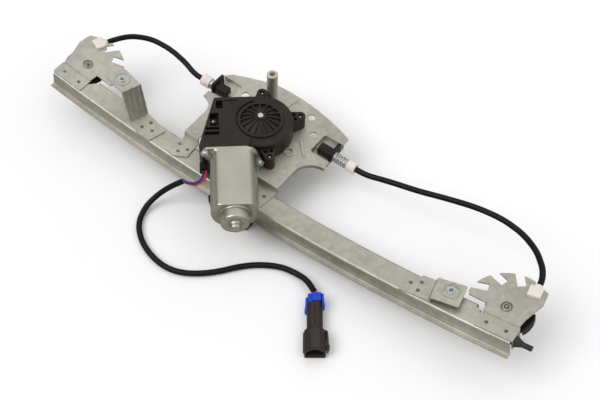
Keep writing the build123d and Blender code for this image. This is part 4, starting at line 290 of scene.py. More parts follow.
# Finish of each CAD node, by its name without left_ or right_
NODE_FINISHES: dict[str, Finish] = {
    name: finish
    for finish, names in (
        (ZINC_SHEET, "guide_rail end_bracket motor_plate mount_bracket carrier_plate"),
        (BLUE_ZINC, "pulley_rivets adjuster_spring weld_nut gear_axle gearbox_screws can_bearing"),
        (BLUE_ZINC, "motor_screws carrier_bolts cable_nipples armature_shaft"),
        (BLACK_ACETAL, "cable_guard cable_clip gearbox_base drum_housing brush_holder pulley"),
        (BLACK_ACETAL, "motor_socket connector_body carrier_shoe cable_drum"),
        (WHITE_ACETAL, "conduit_seat adjuster worm_wheel"),
        (STRAND, "cable cable_wraps"),
        (DRAWN_CAN, "motor_can armature_core"),
        (CONDUIT, "conduit"),
        (RUBBER, "end_bumper glass_pad drive_dampers"),
        (BRONZE, "worm_bush connector_terminals commutator"),
        (FERRITE, "magnets brushes"),
        (HOUSING, "gearbox_housing"),
        (SATIN_ZINC, "standoff"),
        (VINYL, "harness_sheath"),
        (LOCK_BLUE, "connector_lock"),
        (WIRE_BLUE, "wire_blue"),
        (WIRE_RED, "wire_red connector_wires"),
    )
    for name in names.split()
}


def dress(thing: Object, finish: Finish) -> None:
    """Gives a whole object one finish."""
    thing.data.materials.clear()
    thing.data.materials.append(finish.material())


def linked(name: str, data: ID) -> Object:
    """Makes an object and links it to the scene.

    Args:
        name: Its name.
        data: Its mesh, curve, light or camera.

    Returns:
        The object.
    """
    thing = bpy.data.objects.new(name, data)
    bpy.context.scene.collection.objects.link(thing)
    return thing


def turned_by(points: ArrayLike, angle: float) -> np.ndarray:
    """Points (x, y) turned about the origin.

    Args:
        points: Points, an array (..., 2).
        angle: Turn in degrees.

    Returns:
        The turned points.
    """
    turn = math.radians(angle)
    spin = np.array([[math.cos(turn), math.sin(turn)], [-math.sin(turn), math.cos(turn)]])
    return np.asarray(points, float) @ spin


def eased(
    corners: ArrayLike, radius: ArrayLike, steps: int = 6, closed: bool = False
) -> np.ndarray:
    """A polyline with its corners rounded.

    Each corner c, with neighbours a and b, gives way to the quadratic Bezier curve
    (1-t)^2 s + 2 t (1-t) c + t^2 e, where s and e lie on its two runs at the cut: the radius, or
    0.45 of the shorter run.

    Args:
        corners: Points of two or three coordinates in millimetres.
        radius: Cut at every corner, one value or one for each.
        steps: Runs in each corner's curve.
        closed: Whether the last point joins the first.

    Returns:
        The rounded line's points.
    """
    corners = np.asarray(corners, float)
    back = np.roll(corners, 1, 0) - corners
    ahead = np.roll(corners, -1, 0) - corners
    lengths = [np.linalg.norm(run, axis=1) for run in (back, ahead)]
    cut = np.minimum(radius, 0.45 * np.minimum(*lengths))[:, None]
    start = corners + back / lengths[0][:, None] * cut
    end = corners + ahead / lengths[1][:, None] * cut
    t = np.linspace(0, 1, steps + 1)[None, :, None]
    bent = (1 - t) ** 2 * start[:, None] + 2 * t * (1 - t) * corners[:, None] + t**2 * end[:, None]
    width = corners.shape[1]
    if closed:
        return bent.reshape(-1, width)
    return np.vstack([corners[:1], bent[1:-1].reshape(-1, width), corners[-1:]])


@dataclass(frozen=True)
class Axes:
    """A local frame: its origin in millimetres and its unit vectors, in the part's frame."""

    origin: np.ndarray
    x: np.ndarray
    y: np.ndarray
    z: np.ndarray

    def place(self, points: ArrayLike) -> np.ndarray:
        """Local points, any array of (..., 3), as points of the part's frame."""
        x, y, z = (np.asarray(points, float)[..., k : k + 1] for k in range(3))
        return self.origin + x * self.x + y * self.y + z * self.z

    def moved(self, x: float = 0.0, y: float = 0.0, z: float = 0.0, turn: float = 0.0) -> "Axes":
        """This frame moved, then turned about its z.

        Args:
            x, y, z: Move along its own vectors in millimetres.
            turn: Turn in degrees.

        Returns:
            The new frame.
        """
        c, s = math.cos(math.radians(turn)), math.sin(math.radians(turn))
        return Axes(
            self.place((x, y, z)), c * self.x + s * self.y, c * self.y - s * self.x, self.z)


@dataclass(frozen=True)
class Layout:
    """Where the parts lie: the rail's arc, the motor plate on it and the worm drive's axes.

    ends and mounts are where the end and mount brackets lie along the arc, left then right; sheet
    is their thickness and that of the plate's feet.
    """

    rail_radius: float = 1365.0
    rail_height: float = 34.0
    arc_x: float = -28.0
    rail_y: float = -33.0
    plate_s: float = -40.0
    ends: tuple[float, float] = (-242.0, 282.0)
    mounts: tuple[float, float] = (-138.0, 200.0)
    sheet: float = 1.5
    gear: tuple[float, float] = (3.8, 62.8)
    drive_turn: float = 40.0
    centre_distance: float = 29.7
    worm_height: float = 25.0
    motor_face: float = 41.0

    def rail(self, s: float, lift: float = 0.0) -> Axes:
        """Frame over the rail's top face: x along the rail, z off its face.

        Args:
            s: Distance along the arc from its lowest point, in millimetres.
            lift: Height over the face.

        Returns:
            The frame.
        """
        reach, turn = self.rail_radius - lift, s / self.rail_radius
        cos, sin = math.cos(turn), math.sin(turn)
        x, z = self.arc_x + reach * sin, self.rail_height + self.rail_radius - reach * cos
        return Axes(*np.array([(x, self.rail_y, z), (cos, 0, sin), (0, 1, 0), (-sin, 0, cos)]))

    def foot(self, s: float, half: float = 21.0) -> Axes:
        """Frame at s on a flat foot: its ends lie on the arc, its middle half^2 / 2R over it."""
        return self.rail(s, half**2 / (2 * self.rail_radius))

    def plate(self, x: float, y: float, height: float, turn: float = 0.0) -> Axes:
        """Frame parallel to the motor plate at its point (x, y), turned about its z by degrees."""
        return self.rail(self.plate_s, height).moved(x, y, 0.0, turn)

    def drive(self, height: float) -> Axes:
        """Frame at a height where the worm's axis passes the gear: x to the gear, y along it."""
        x, y = np.array(self.gear) - turned_by((self.centre_distance, 0), self.drive_turn)
        return self.plate(x, y, height, self.drive_turn)

    def motor(self, along: float = 0.0) -> Axes:
        """Frame on the motor's axis, along from the gear: x across, y up, z away from the gear."""
        drive = self.drive(self.worm_height)
        return Axes(drive.place((0, -along, 0)), drive.x, drive.z, -drive.y)


LAYOUT = Layout()


class Side(Enum):
    """Side of the motor plate, as the way along X."""

    LEFT = -1
    RIGHT = 1


class Ends(Enum):
    """How a loft ends."""

    CLOSED = "a pole closes each end"
    JOINED = "the last ring joins the first"


@dataclass(frozen=True)
class Surface:
    """A closed surface: points in millimetres, four-sided faces and the triangles at its poles."""

    points: np.ndarray
    quads: np.ndarray
    fans: np.ndarray

    @classmethod
    def lofted(cls, rings: np.ndarray, ends: Ends = Ends.CLOSED) -> "Surface":
        """Surface through closed rings, faces outward.

        Faces join each point i of ring k with i + 1 there and both in ring k + 1.

        Args:
            rings: Points in millimetres, an array (ring, point, 3).
            ends: How the loft ends.

        Returns:
            The surface.
        """
        count, around = rings.shape[:2]
        index = np.arange(count * around).reshape(count, around)
        points, fans = rings.reshape(-1, 3), np.empty((0, 3), int)
        if ends is Ends.CLOSED:
            points = np.vstack([points, rings[[0, -1]].mean(axis=1)])
            low, high = (np.full(around, len(points) - k) for k in (2, 1))
            fans = np.vstack([
                np.stack([np.roll(index[0], -1), index[0], low], axis=-1),
                np.stack([index[-1], np.roll(index[-1], -1), high], axis=-1),
            ])
        else:
            index = np.vstack([index, index[:1]])
        here, there = index[:-1], index[1:]
        quads = np.stack([here, np.roll(here, -1, 1), np.roll(there, -1, 1), there], axis=-1)
        return cls(points, quads.reshape(-1, 4), fans).outward()

    def outward(self) -> "Surface":
        """The same surface with its faces turned outward, by the sign of its volume.

        The volume is the sum over its triangles a, b, c of a . (b x c) / 6.

        Returns:
            This surface, or one with its faces turned round.
        """
        middle = self.points.mean(axis=0)
        triangles = np.vstack([self.quads[:, [0, 1, 2]], self.quads[:, [0, 2, 3]], self.fans])
        a, b, c = (self.points[triangles[:, k]] - middle for k in range(3))
        if np.einsum("ij,ij->", a, np.cross(b, c)) > 0:
            return self
        return Surface(self.points, self.quads[:, ::-1], self.fans[:, ::-1])

    def __add__(self, other: "Surface") -> "Surface":
        """Both surfaces as one."""
        shift = len(self.points)
        return Surface(
            np.vstack([self.points, other.points]),
            np.vstack([self.quads, other.quads + shift]),
            np.vstack([self.fans, other.fans + shift]),
        )

    def built(
        self, name: str, finish: Finish, slot: str, body: str = "base", crease: float = 35.0
    ) -> Object:
        """Makes the piece of this surface.

        Args:
            name: Piece's name.
            finish: Its finish.
            slot: Record's material slot; not used.
            body: CAD body that it rides on.
            crease: Smallest angle in degrees between faces that shows as an edge.

        Returns:
            The mesh object.
        """
        data = bpy.data.meshes.new(name)
        data.from_pydata((self.points * MM).tolist(), [], self.quads.tolist() + self.fans.tolist())
        data.shade_smooth()
        data.set_sharp_from_angle(angle=math.radians(crease))
        piece = linked(name, data)
        dress(piece, finish)
        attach(piece, body)
        LOG.info("piece %s: %d points", name, len(self.points))
        return piece


def merged(surfaces: list[Surface]) -> Surface:
    """All of these surfaces as one."""
    return reduce(Surface.__add__, surfaces)


def angles(count: int = AROUND) -> np.ndarray:
    """Angles of one turn in radians, an array (1, count)."""
    return np.linspace(0, 2 * math.pi, count, endpoint=False)[None, :]


def about(
    axes: Axes, radius: np.ndarray, height: np.ndarray, angle: np.ndarray,
    ends: Ends = Ends.CLOSED,
) -> Surface:
    """Surface round a frame's z: its points are (r cos u, r sin u, h).

    Args:
        axes: The frame.
        radius: r, by ring and point, or by one of them.
        height: h, likewise.
        angle: u in radians, likewise.
        ends: How the loft ends.

    Returns:
        The closed surface.
    """
    rings = np.broadcast_arrays(radius * np.cos(angle), radius * np.sin(angle), height)
    return Surface.lofted(axes.place(np.stack(rings, -1)), ends)


def revolved(axes: Axes, outline: np.ndarray, lobes: ArrayLike = 0.0, count: int = 6) -> Surface:
    """Surface of revolution about a frame's z.

    With lobes, the radius r at the angle u becomes r (1 + lobes cos(count u)).

    Args:
        axes: The frame.
        outline: Points (radius, height) in millimetres.
        lobes: Depth of the lobes as a share of r, one value or a column of one a point.
        count: How many lobes there are.

    Returns:
        The closed surface.
    """
    u = angles()
    return about(axes, outline[:, :1] * (1 + lobes * np.cos(count * u)), outline[:, 1:], u)


def slab(axes: Axes, outline: np.ndarray, low: float, high: float, ease: float) -> Surface:
    """Flat piece with eased rims: its outline is drawn in by ease at both faces.

    Args:
        axes: Frame with its z off the faces.
        outline: Points (x, y) in millimetres.
        low, high: Heights of its faces.
        ease: Width and height of the rims' slope.

    Returns:
        The closed surface.
    """
    middle = outline.mean(axis=0)
    inner = middle + (outline - middle) * (1 - ease / np.abs(outline - middle).max())
    levels = ((inner, low), (outline, low + ease), (outline, high - ease), (inner, high))
    rings = [np.column_stack([ring, np.full(len(ring), level)]) for ring, level in levels]
    return Surface.lofted(axes.place(rings))


def box_ring(half: float, low: float, high: float, radius: float, drop: float = 0.0) -> np.ndarray:
    """Rounded oblong between two heights.

    Args:
        half: Half its width in millimetres.
        low, high: Its heights.
        radius: Cut at its corners.
        drop: How far its upper corners are cut down beside a flat ridge.

    Returns:
        Its points (across, up).
    """
    corners = ((-half, low), (half, low), (half, high), (-half, high))
    if drop:
        ridge, side = RIDGE_SHARE * half, high - drop
        corners = (*corners[:2], (half, side), (ridge, high), (-ridge, high), (-half, side))
    return eased(corners, radius, 5, closed=True)


def screw_head(seat: Axes) -> Surface:
    """Pan head on its washer with a six-lobed recess, above a short shank.

    Args:
        seat: Frame on the face under the washer.

    Returns:
        The screw's surface.
    """
    outside = eased(
        ((0.05, -6.0), (1.9, -6.0), (1.9, 0.05), (4.7, 0.05), (4.7, 0.8), (3.7, 0.9), (3.6, 2.4),
         (3.0, 3.0), (1.9, 3.05)), 0.35, 4)
    recess = eased(((1.75, 3.0), (1.6, 1.5), (0.05, 1.3)), 0.2, 4)
    lobes = np.concatenate([np.zeros(len(outside)), np.full(len(recess), 0.17)])
    return revolved(seat, np.vstack([outside, recess]), lobes[:, None])


def thread_radius(
    crest: float, pitch: float, depth: float, height: np.ndarray, angle: np.ndarray
) -> np.ndarray:
    """Thread's radius at height h and angle u: r - d p (1 + cos(2 pi h / p - u)) / 2."""
    return crest - depth * pitch * (1 + np.cos(2 * math.pi * height / pitch - angle)) / 2


def inner_thread(
    axes: Axes, bore: float, pitch: float, low: float, high: float, wall: float = 0.25
) -> Surface:
    """Internal thread as a thin sleeve, 0.35 of its pitch deep.

    Args:
        axes: Frame with its z along the bore.
        bore: Bore's radius in millimetres.
        pitch: Climb of one turn.
        low, high: Heights of its ends.
        wall: How far the sleeve reaches into the nut's wall.

    Returns:
        The closed surface.
    """
    steps = int((high - low) / pitch * PITCH_RINGS)
    height = np.concatenate([np.linspace(low, high, steps), [high, low]])[:, None]
    radius = thread_radius(bore, pitch, 0.35, height, angles())
    radius[-2:] = bore + wall
    return about(axes, radius, height, angles(), Ends.JOINED)


@dataclass
class Studio:
    """Camera at the photograph's viewing angle, soft light and a plain pale floor.

    Turns are in degrees about X, then Y, then Z.
    """

    camera_at: Triple = (359.467, -496.790, 849.240)
    camera_turn: Triple = (36.1958, -0.6750, 36.0874)
    lens: float = 60.0
    sensor: float = 36.0
    clip: tuple[float, float] = (0.05, 50.0)
    floor_half: float = 6000.0
    floor_drop: float = 0.15
    floor_colour: str = "#FEFEFE"
    floor_mirrored: str = "#B5B4B0"
    sky_level: float = 0.31
    sky_slope: Triple = (0.15, 0.2, 0.65)
    sun_energy: float = 1.12
    sun_width: float = 40.0
    sun_turn: Triple = (38.0, 0.0, -35.0)

    def camera(self) -> None:
        """Makes the camera."""
        data = bpy.data.cameras.new("camera")
        data.lens, data.sensor_width = self.lens, self.sensor
        data.clip_start, data.clip_end = self.clip
        eye = linked("camera", data)
        eye.location = Vector(self.camera_at) * MM
        eye.rotation_euler = Euler([math.radians(a) for a in self.camera_turn])
        bpy.context.scene.camera = eye

    def floor(self) -> None:
        """Makes the floor: a level square just under the object, greyer in what metal mirrors."""
        half, low = self.floor_half * MM, -self.floor_drop * MM
        data = bpy.data.meshes.new("floor")
        data.from_pydata(
            [(-half, -half, low), (half, -half, low), (half, half, low), (-half, half, low)], [],
            [(0, 1, 2, 3)])
        floor = linked("floor", data)
        made = bpy.data.materials.new("pale_floor")
        made.use_nodes = True
        tree = made.node_tree
        tree.nodes.clear()
        rays = add_node(tree, "ShaderNodeLightPath")
        tone = add_node(
            tree, "ShaderNodeMix",
            {0: rays.outputs["Is Glossy Ray"], 6: linear(self.floor_colour),
             7: linear(self.floor_mirrored)}, data_type="RGBA").outputs[2]
        paint = add_node(tree, "ShaderNodeBsdfDiffuse", {"Color": tone})
        add_node(tree, "ShaderNodeOutputMaterial", {"Surface": paint.outputs["BSDF"]})
        data.materials.append(made)

    def light(self) -> None:
        """Makes the world's light and one broad sun.

        The sky is soft and brightest overhead: in the direction d it is level + slope . d, never
        below nothing, so that polished sides turn darker, as under a studio's overhead panel.
        """
        world = bpy.data.worlds.new("studio")
        world.use_nodes = True
        tree = world.node_tree
        tree.nodes.clear()
        rays = add_node(tree, "ShaderNodeLightPath")
        way = add_node(tree, "ShaderNodeTexCoord").outputs["Generated"]
        slope = add_node(
            tree, "ShaderNodeVectorMath", {0: way, 1: self.sky_slope},
            operation="DOT_PRODUCT").outputs["Value"]
        shaded = add_node(tree, "ShaderNodeMapRange", {
            "Value": slope, "From Min": -self.sky_level, "From Max": 1.0,
            "To Min": 0.0, "To Max": 1.0 + self.sky_level}).outputs["Result"]
        seen = add_node(tree, "ShaderNodeMix", {
            0: rays.outputs["Is Camera Ray"], 2: shaded, 3: 1.0}).outputs[0]
        sky = add_node(tree, "ShaderNodeBackground", {"Color": (1, 1, 1, 1), "Strength": seen})
        add_node(tree, "ShaderNodeOutputWorld", {"Surface": sky.outputs["Background"]})
        bpy.context.scene.world = world
        lamp = bpy.data.lights.new("sun", "SUN")
        lamp.energy = self.sun_energy
        lamp.angle = math.radians(self.sun_width)
        sun = linked("sun", lamp)
        sun.rotation_euler = Euler([math.radians(a) for a in self.sun_turn])

    def build(self) -> None:
        """Builds the whole studio."""
        self.camera()
        self.floor()
        self.light()
        bpy.context.scene.view_settings.view_transform = "Standard"


def cord_curve(
    name: str, points: tuple, radius: float, finish: Finish, body: str = "base"
) -> Object:
    """A flexible line as one open NURBS curve of order 3 with a round section.

    Args:
        name: Piece's name.
        points: Control points in millimetres.
        radius: Half its diameter in millimetres.
        finish: Its finish.
        body: CAD body that it rides on.

    Returns:
        The curve object.
    """
    data = bpy.data.curves.new(name, "CURVE")
    data.dimensions = "3D"
    data.bevel_depth = radius * MM
    data.bevel_resolution = 6
    data.use_fill_caps = True
    data.resolution_u = 16
    spline = data.splines.new("NURBS")
    spline.points.add(len(points) - 1)
    for knot, point in zip(spline.points, points):
        knot.co = (*(Vector(point) * MM), 1.0)
    spline.order_u = 3
    spline.use_endpoint_u = True
    piece = linked(name, data)
    dress(piece, finish)
    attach(piece, body)
    LOG.info("piece %s: a cord of %d points", name, len(points))
    return piece


@dataclass
class MotorCan:
    """Deep-drawn can with two flats, its stepped end, its flange and the two screws in that."""

    radius: float = 23.5
    flat: float = 17.5
    flange: float = 2.5
    end: float = 112.0
    boss: float = 14.5
    boss_end: float = 124.0
    nub: float = 5.8
    nub_end: float = 130.0
    sharpness: float = 26.0
    flange_outline: tuple = ((-28, 17.5), (16, 17.5), (30.4, -5), (29, -12), (-16, -17.5), (-32, 8))
    screw_at: tuple = ((-27.6, 10.5), (26.9, -8.2))

    def shell(self) -> Surface:
        """Can and boss.

        The section is a circle cut by two flats: the reach at the angle u is
        (r^-p + (|sin u| / f)^p)^(-1/p), r being the outline's radius, f the flats' half height and
        p how sharply they meet. Where the outline draws in at the end, the flats run out in arcs.

        Returns:
            The surface.
        """
        top, end, boss = LAYOUT.motor_face + self.flange, self.end, self.boss
        corners = (
            (self.radius + 2.6, top - 0.6), (self.radius, top + 2.2), (self.radius, end),
            (boss + 2.6, end), (boss + 1.2, end - 1.0), (boss, end + 0.4), (boss, self.boss_end),
            (self.nub + 2.4, self.boss_end), (self.nub + 1.0, self.boss_end - 0.8),
            (self.nub, self.boss_end + 0.8), (self.nub - 0.4, self.nub_end), (0.05, self.nub_end),
        )
        cuts = (0, 2.4, 8.5, 0.9, 0.9, 0.6, 3.4, 0.9, 0.8, 0.8, 2.6, 0)
        outline = eased(corners, cuts, 9)
        u, p = angles(2 * AROUND), self.sharpness
        reach = (outline[:, :1] ** -p + (np.abs(np.sin(u)) / self.flat) ** p) ** (-1 / p)
        return about(LAYOUT.motor(), reach, outline[:, 1:], u)

    def build(self) -> None:
        """Builds the can with its flange, and the screws."""
        outline = eased(self.flange_outline, 3.0, 5, closed=True)
        top = LAYOUT.motor_face + self.flange
        plate = slab(LAYOUT.motor(), outline, LAYOUT.motor_face, top, 0.5)
        can = (self.shell() + plate).built("can_shell", DRAWN_CAN, "motor_steel", crease=28.0)
        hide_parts("motor_can")
        heads = [screw_head(LAYOUT.motor(top).moved(x, y)) for x, y in self.screw_at]
        screws = merged(heads).built("flange_screws", BLUE_ZINC, "bright_steel")
        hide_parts("motor_screws")


@dataclass
class GearboxScrews:
    """Screws from under the plate: three end deep in the lugs' bores, one in the cover's boss."""

    angles: tuple[float, ...] = (85.0, 12.5, -80.0)
    reach: float = 43.0
    head: float = 4.5
    shank: float = 2.4
    under: float = 8.5
    shoulder: float = 22.0
    tip: float = 24.6
    cover_at: tuple[float, float] = (-18.9, -1.3)
    cover_top: float = 33.5

    def build(self) -> None:
        """Builds the three screws and the fourth one's point."""
        drive, low = LAYOUT.drive(0), self.under - self.shank
        outline = eased(
            ((0.05, low), (self.head, low), (self.head, self.under), (self.shank, self.under),
             (self.shank, self.shoulder), (1.3, self.shoulder + 0.6), (1.0, self.tip),
             (0.05, self.tip + 0.4)), 0.3, 4)
        centre = (LAYOUT.centre_distance, 0)
        lugs = [turned_by((self.reach, 0), angle) + centre for angle in self.angles]
        screws = merged([revolved(drive.moved(*lug), outline) for lug in lugs])
        piece = screws.built("lug_screws", BLUE_ZINC, "bright_steel")
        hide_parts("gearbox_screws")
        point = eased(((0.05, -1.0), (1.0, -1.0), (1.0, 0.2), (0.7, 0.4), (0.05, 0.45)), 0.2, 4)
        cover = revolved(drive.moved(*self.cover_at, self.cover_top), point)
        cover.built("cover_screw_point", BLUE_ZINC, "bright_steel")


@dataclass
class Threads:
    """Threads in the standoff and in the weld nuts of both mount brackets."""

    standoff: tuple[float, float] = (-14.9, 107.7)
    standoff_top: float = 50.3
    nuts: tuple = ((-39.0, 7.5, 42.3), (29.3, 8.0, 7.0))

    def build(self) -> None:
        """Builds the three threads."""
        post = inner_thread(
            LAYOUT.plate(*self.standoff, 0), bore=3.0, pitch=1.0, low=20.0, high=self.standoff_top)
        sleeves = [
            inner_thread(LAYOUT.foot(s).moved(*nut), 2.5, 0.9, low=-4.2, high=1.3, wall=0.1)
            for s, nut in zip(LAYOUT.mounts, self.nuts)
        ]
        post.built("standoff_thread", YELLOW_ZINC, "bright_steel")
        merged(sleeves).built("nut_threads", BLUE_ZINC, "bright_steel")


@dataclass
class Adjuster:
    """Threaded rod with its cap on the conduit's end, and the compression spring round the rod."""

    side: Side
    edge: float
    cap_in: float
    cap_out: float
    turns: float
    rod: float = 3.1
    bore: float = 3.05
    cap: float = 6.4
    spring: float = 4.7
    wire: float = 0.75
    wire_points: int = 14
    turn_rings: int = 36
    pitch: float = 1.6
    level: float = 8.0
    line_y: float = 86.5
    reach: float = 10.5

    def frame(self) -> Axes:
        """Frame on the adjuster's axis where it leaves the clip, its z outwards on the cable."""
        flat = LAYOUT.plate(self.edge, self.line_y, self.level)
        return Axes(flat.origin, flat.y, flat.z, flat.x * self.side.value)

    def rod_and_cap(self) -> Surface:
        """Rod with a thread 0.22 of its pitch deep, and the cap.

        The cap's radius r at the angle u becomes r (1 + 0.012 cos 12 u), its grip.

        Returns:
            The surface.
        """
        root, out = abs(self.cap_in - self.edge), abs(self.cap_out - self.edge)
        rings = int((self.reach + root) / self.pitch * PITCH_RINGS)
        screw = np.linspace(-self.reach, root - 0.2, rings)[:, None]
        groove, inner = self.cap - 0.5, out - 6.0
        corners = (
            (self.rod, root), (self.cap - 0.2, root), (self.cap, root + 2.6), (groove, root + 3.0),
            (groove, root + 3.8), (self.cap, root + 4.2), (self.cap, out), (3.5, out),
            (self.bore, out - 1.5), (self.bore, inner), (0.05, inner),
        )
        head = eased(corners, (0, 0.8, 0.3, 0.3, 0.3, 0.3, 2.0, 0.5, 0.5, 0.4, 0), 5)
        u = angles()
        ridge = thread_radius(self.rod, self.pitch, 0.22, screw, u)
        radius = np.vstack([ridge, head[:, :1] * (1 + 0.012 * np.cos(12 * u))])
        return about(self.frame(), radius, np.vstack([screw, head[:, 1:]]), u)

    def coil(self) -> Surface:
        """Spring's wire.

        Its middle line at t from 0 to 1 is R (cos a, sin a) at the height h(t), a = 2 pi n t for n
        turns. At both ends h climbs little, over a turn or 0.28 of the line, so that the coil
        closes. The wire's section lies in the plane of the radius and the axis.

        Returns:
            The surface.
        """
        length, dead = abs(self.cap_in - self.edge), min(0.28, 1.0 / self.turns)
        t = np.linspace(0, 1, int(self.turns * self.turn_rings))
        levels = (self.wire, self.wire * 2.6, length - self.wire * 2.6, length - self.wire)
        height = np.interp(t, (0, dead, 1 - dead, 1), levels)[:, None]
        a, v = (2 * math.pi * self.turns * t)[:, None], angles(self.wire_points)
        radius = self.spring + self.wire * np.cos(v)
        return about(self.frame(), radius, height + self.wire * np.sin(v), a)

    def build(self) -> None:
        """Builds this side's adjuster and spring."""
        end = self.side.name.lower()
        body = self.rod_and_cap().built(end + "_adjuster_cap", WHITE_ACETAL, "white_plastic")
        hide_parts(end + "_adjuster")
        spring = self.coil().built(end + "_coil_spring", BLUE_ZINC, "bright_steel", crease=60.0)
        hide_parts(end + "_adjuster_spring")


@dataclass
class Rivets:
    """Rivets that the end pulleys turn on: a ring, a groove and the upset middle."""

    pulley_t: float = -2.0
    pulley_y: float = 20.0
    fan_top: float = 3.12
    pulley_top: float = -1.75
    shank: float = 3.0
    tail: float = -12.3

    def build(self) -> None:
        """Builds both rivets."""
        top, low = self.fan_top, self.fan_top - LAYOUT.sheet
        outline = eased(
            ((0.05, self.tail), (2.6, self.tail), (4.3, self.tail + 1.3),
             (self.shank, self.tail + 1.4), (self.shank, self.pulley_top), (4.3, self.pulley_top),
             (4.3, low), (self.shank, low), (self.shank, top - 0.1), (5.6, top), (5.5, top + 0.7),
             (4.6, top + 1.1), (3.7, top - 0.3), (2.2, top - 0.3), (1.9, top + 1.2),
             (1.2, top + 1.6), (0.05, top + 1.7)), 0.3, 4)
        heads = [
            revolved(LAYOUT.rail(s).moved(side.value * self.pulley_t, self.pulley_y), outline)
            for s, side in zip(LAYOUT.ends, Side)
        ]
        # The rivets' darker finish is painted shade for the dark ring in their grooved heads
        rivets = merged(heads).built("stepped_rivets", RIVET_STEEL_PAINTED_SHADE, "bright_steel")
        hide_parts("pulley_rivets")


@dataclass
class SheetMarks:
    """Spot welds where sheet lies on the rail, and the pressed frame round the right mount's nut.

    The mounts' welds are raised rings. The ends' and the motor plate's are pits, and each half is
    half their foot's length.
    """

    welds: tuple = (
        ((-0.9, 6.5), (-4.6, -3.5), (6.7, -0.7)), ((-9.2, -0.4), (-0.6, 5.2), (1.1, -4.5)))
    end_pits: tuple = ((-10.0, -3.0), (10.0, -3.0))
    end_half: float = 18.3
    plate_pits: tuple = (
        (-92.0, ((-5.9, 5.1), (-1.5, -3.3), (5.0, 4.2))), (7.0, ((5.6, 5.0), (-4.6, 6.6))))
    plate_half: float = 14.0
    pad_lift: float = 7.0
    pad_frame: tuple = ((23.3, -0.7), (20.8, 12.4), (36.5, 14.6), (38.1, 1.1))

    def welded(self) -> Surface:
        """All the spot welds: five-lobed rings and pits on their feet's top faces.

        Returns:
            The closed surfaces as one.
        """
        dish = eased(
            ((0.05, 0.06), (0.7, 0.06), (1.1, 0.28), (1.6, 0.3), (2.1, 0.02), (2.1, -0.5),
             (0.05, -0.5)), 0.3, 4)
        pit = eased(
            ((0.05, -0.34), (1.1, -0.4), (1.6, -0.2), (1.86, -0.06), (1.86, -0.55),
             (0.05, -0.55)), 0.2, 4)
        feet = [(LAYOUT.foot(s), dish, places) for s, places in zip(LAYOUT.mounts, self.welds)]
        feet += [(LAYOUT.foot(s, self.end_half), pit, self.end_pits) for s in LAYOUT.ends]
        feet += [(LAYOUT.foot(s, self.plate_half), pit, places) for s, places in self.plate_pits]
        return merged([
            revolved(foot.moved(x, y, LAYOUT.sheet), outline, lobes=0.03, count=5)
            for foot, outline, places in feet for x, y in places
        ])

    def build(self) -> None:
        """Builds the marks."""
        loop = eased(self.pad_frame, 2.2, 6, closed=True)
        middle = loop.mean(axis=0)
        section = ((1.06, -0.3), (1.06, 0.1), (1.0, 0.8), (0.86, 0.85), (0.8, 0.2), (0.8, -0.3))
        rings = [
            np.column_stack([middle + (loop - middle) * share, np.full(len(loop), height)])
            for share, height in section
        ]
        seat = LAYOUT.foot(LAYOUT.mounts[1]).moved(z=self.pad_lift)
        ring = Surface.lofted(seat.place(rings), Ends.JOINED)
        self.welded().built("spot_welds", WELD_MARK, "zinc_steel")
        ring.built("pressed_pad_frame", ZINC_SHEET, "zinc_steel", crease=50.0)


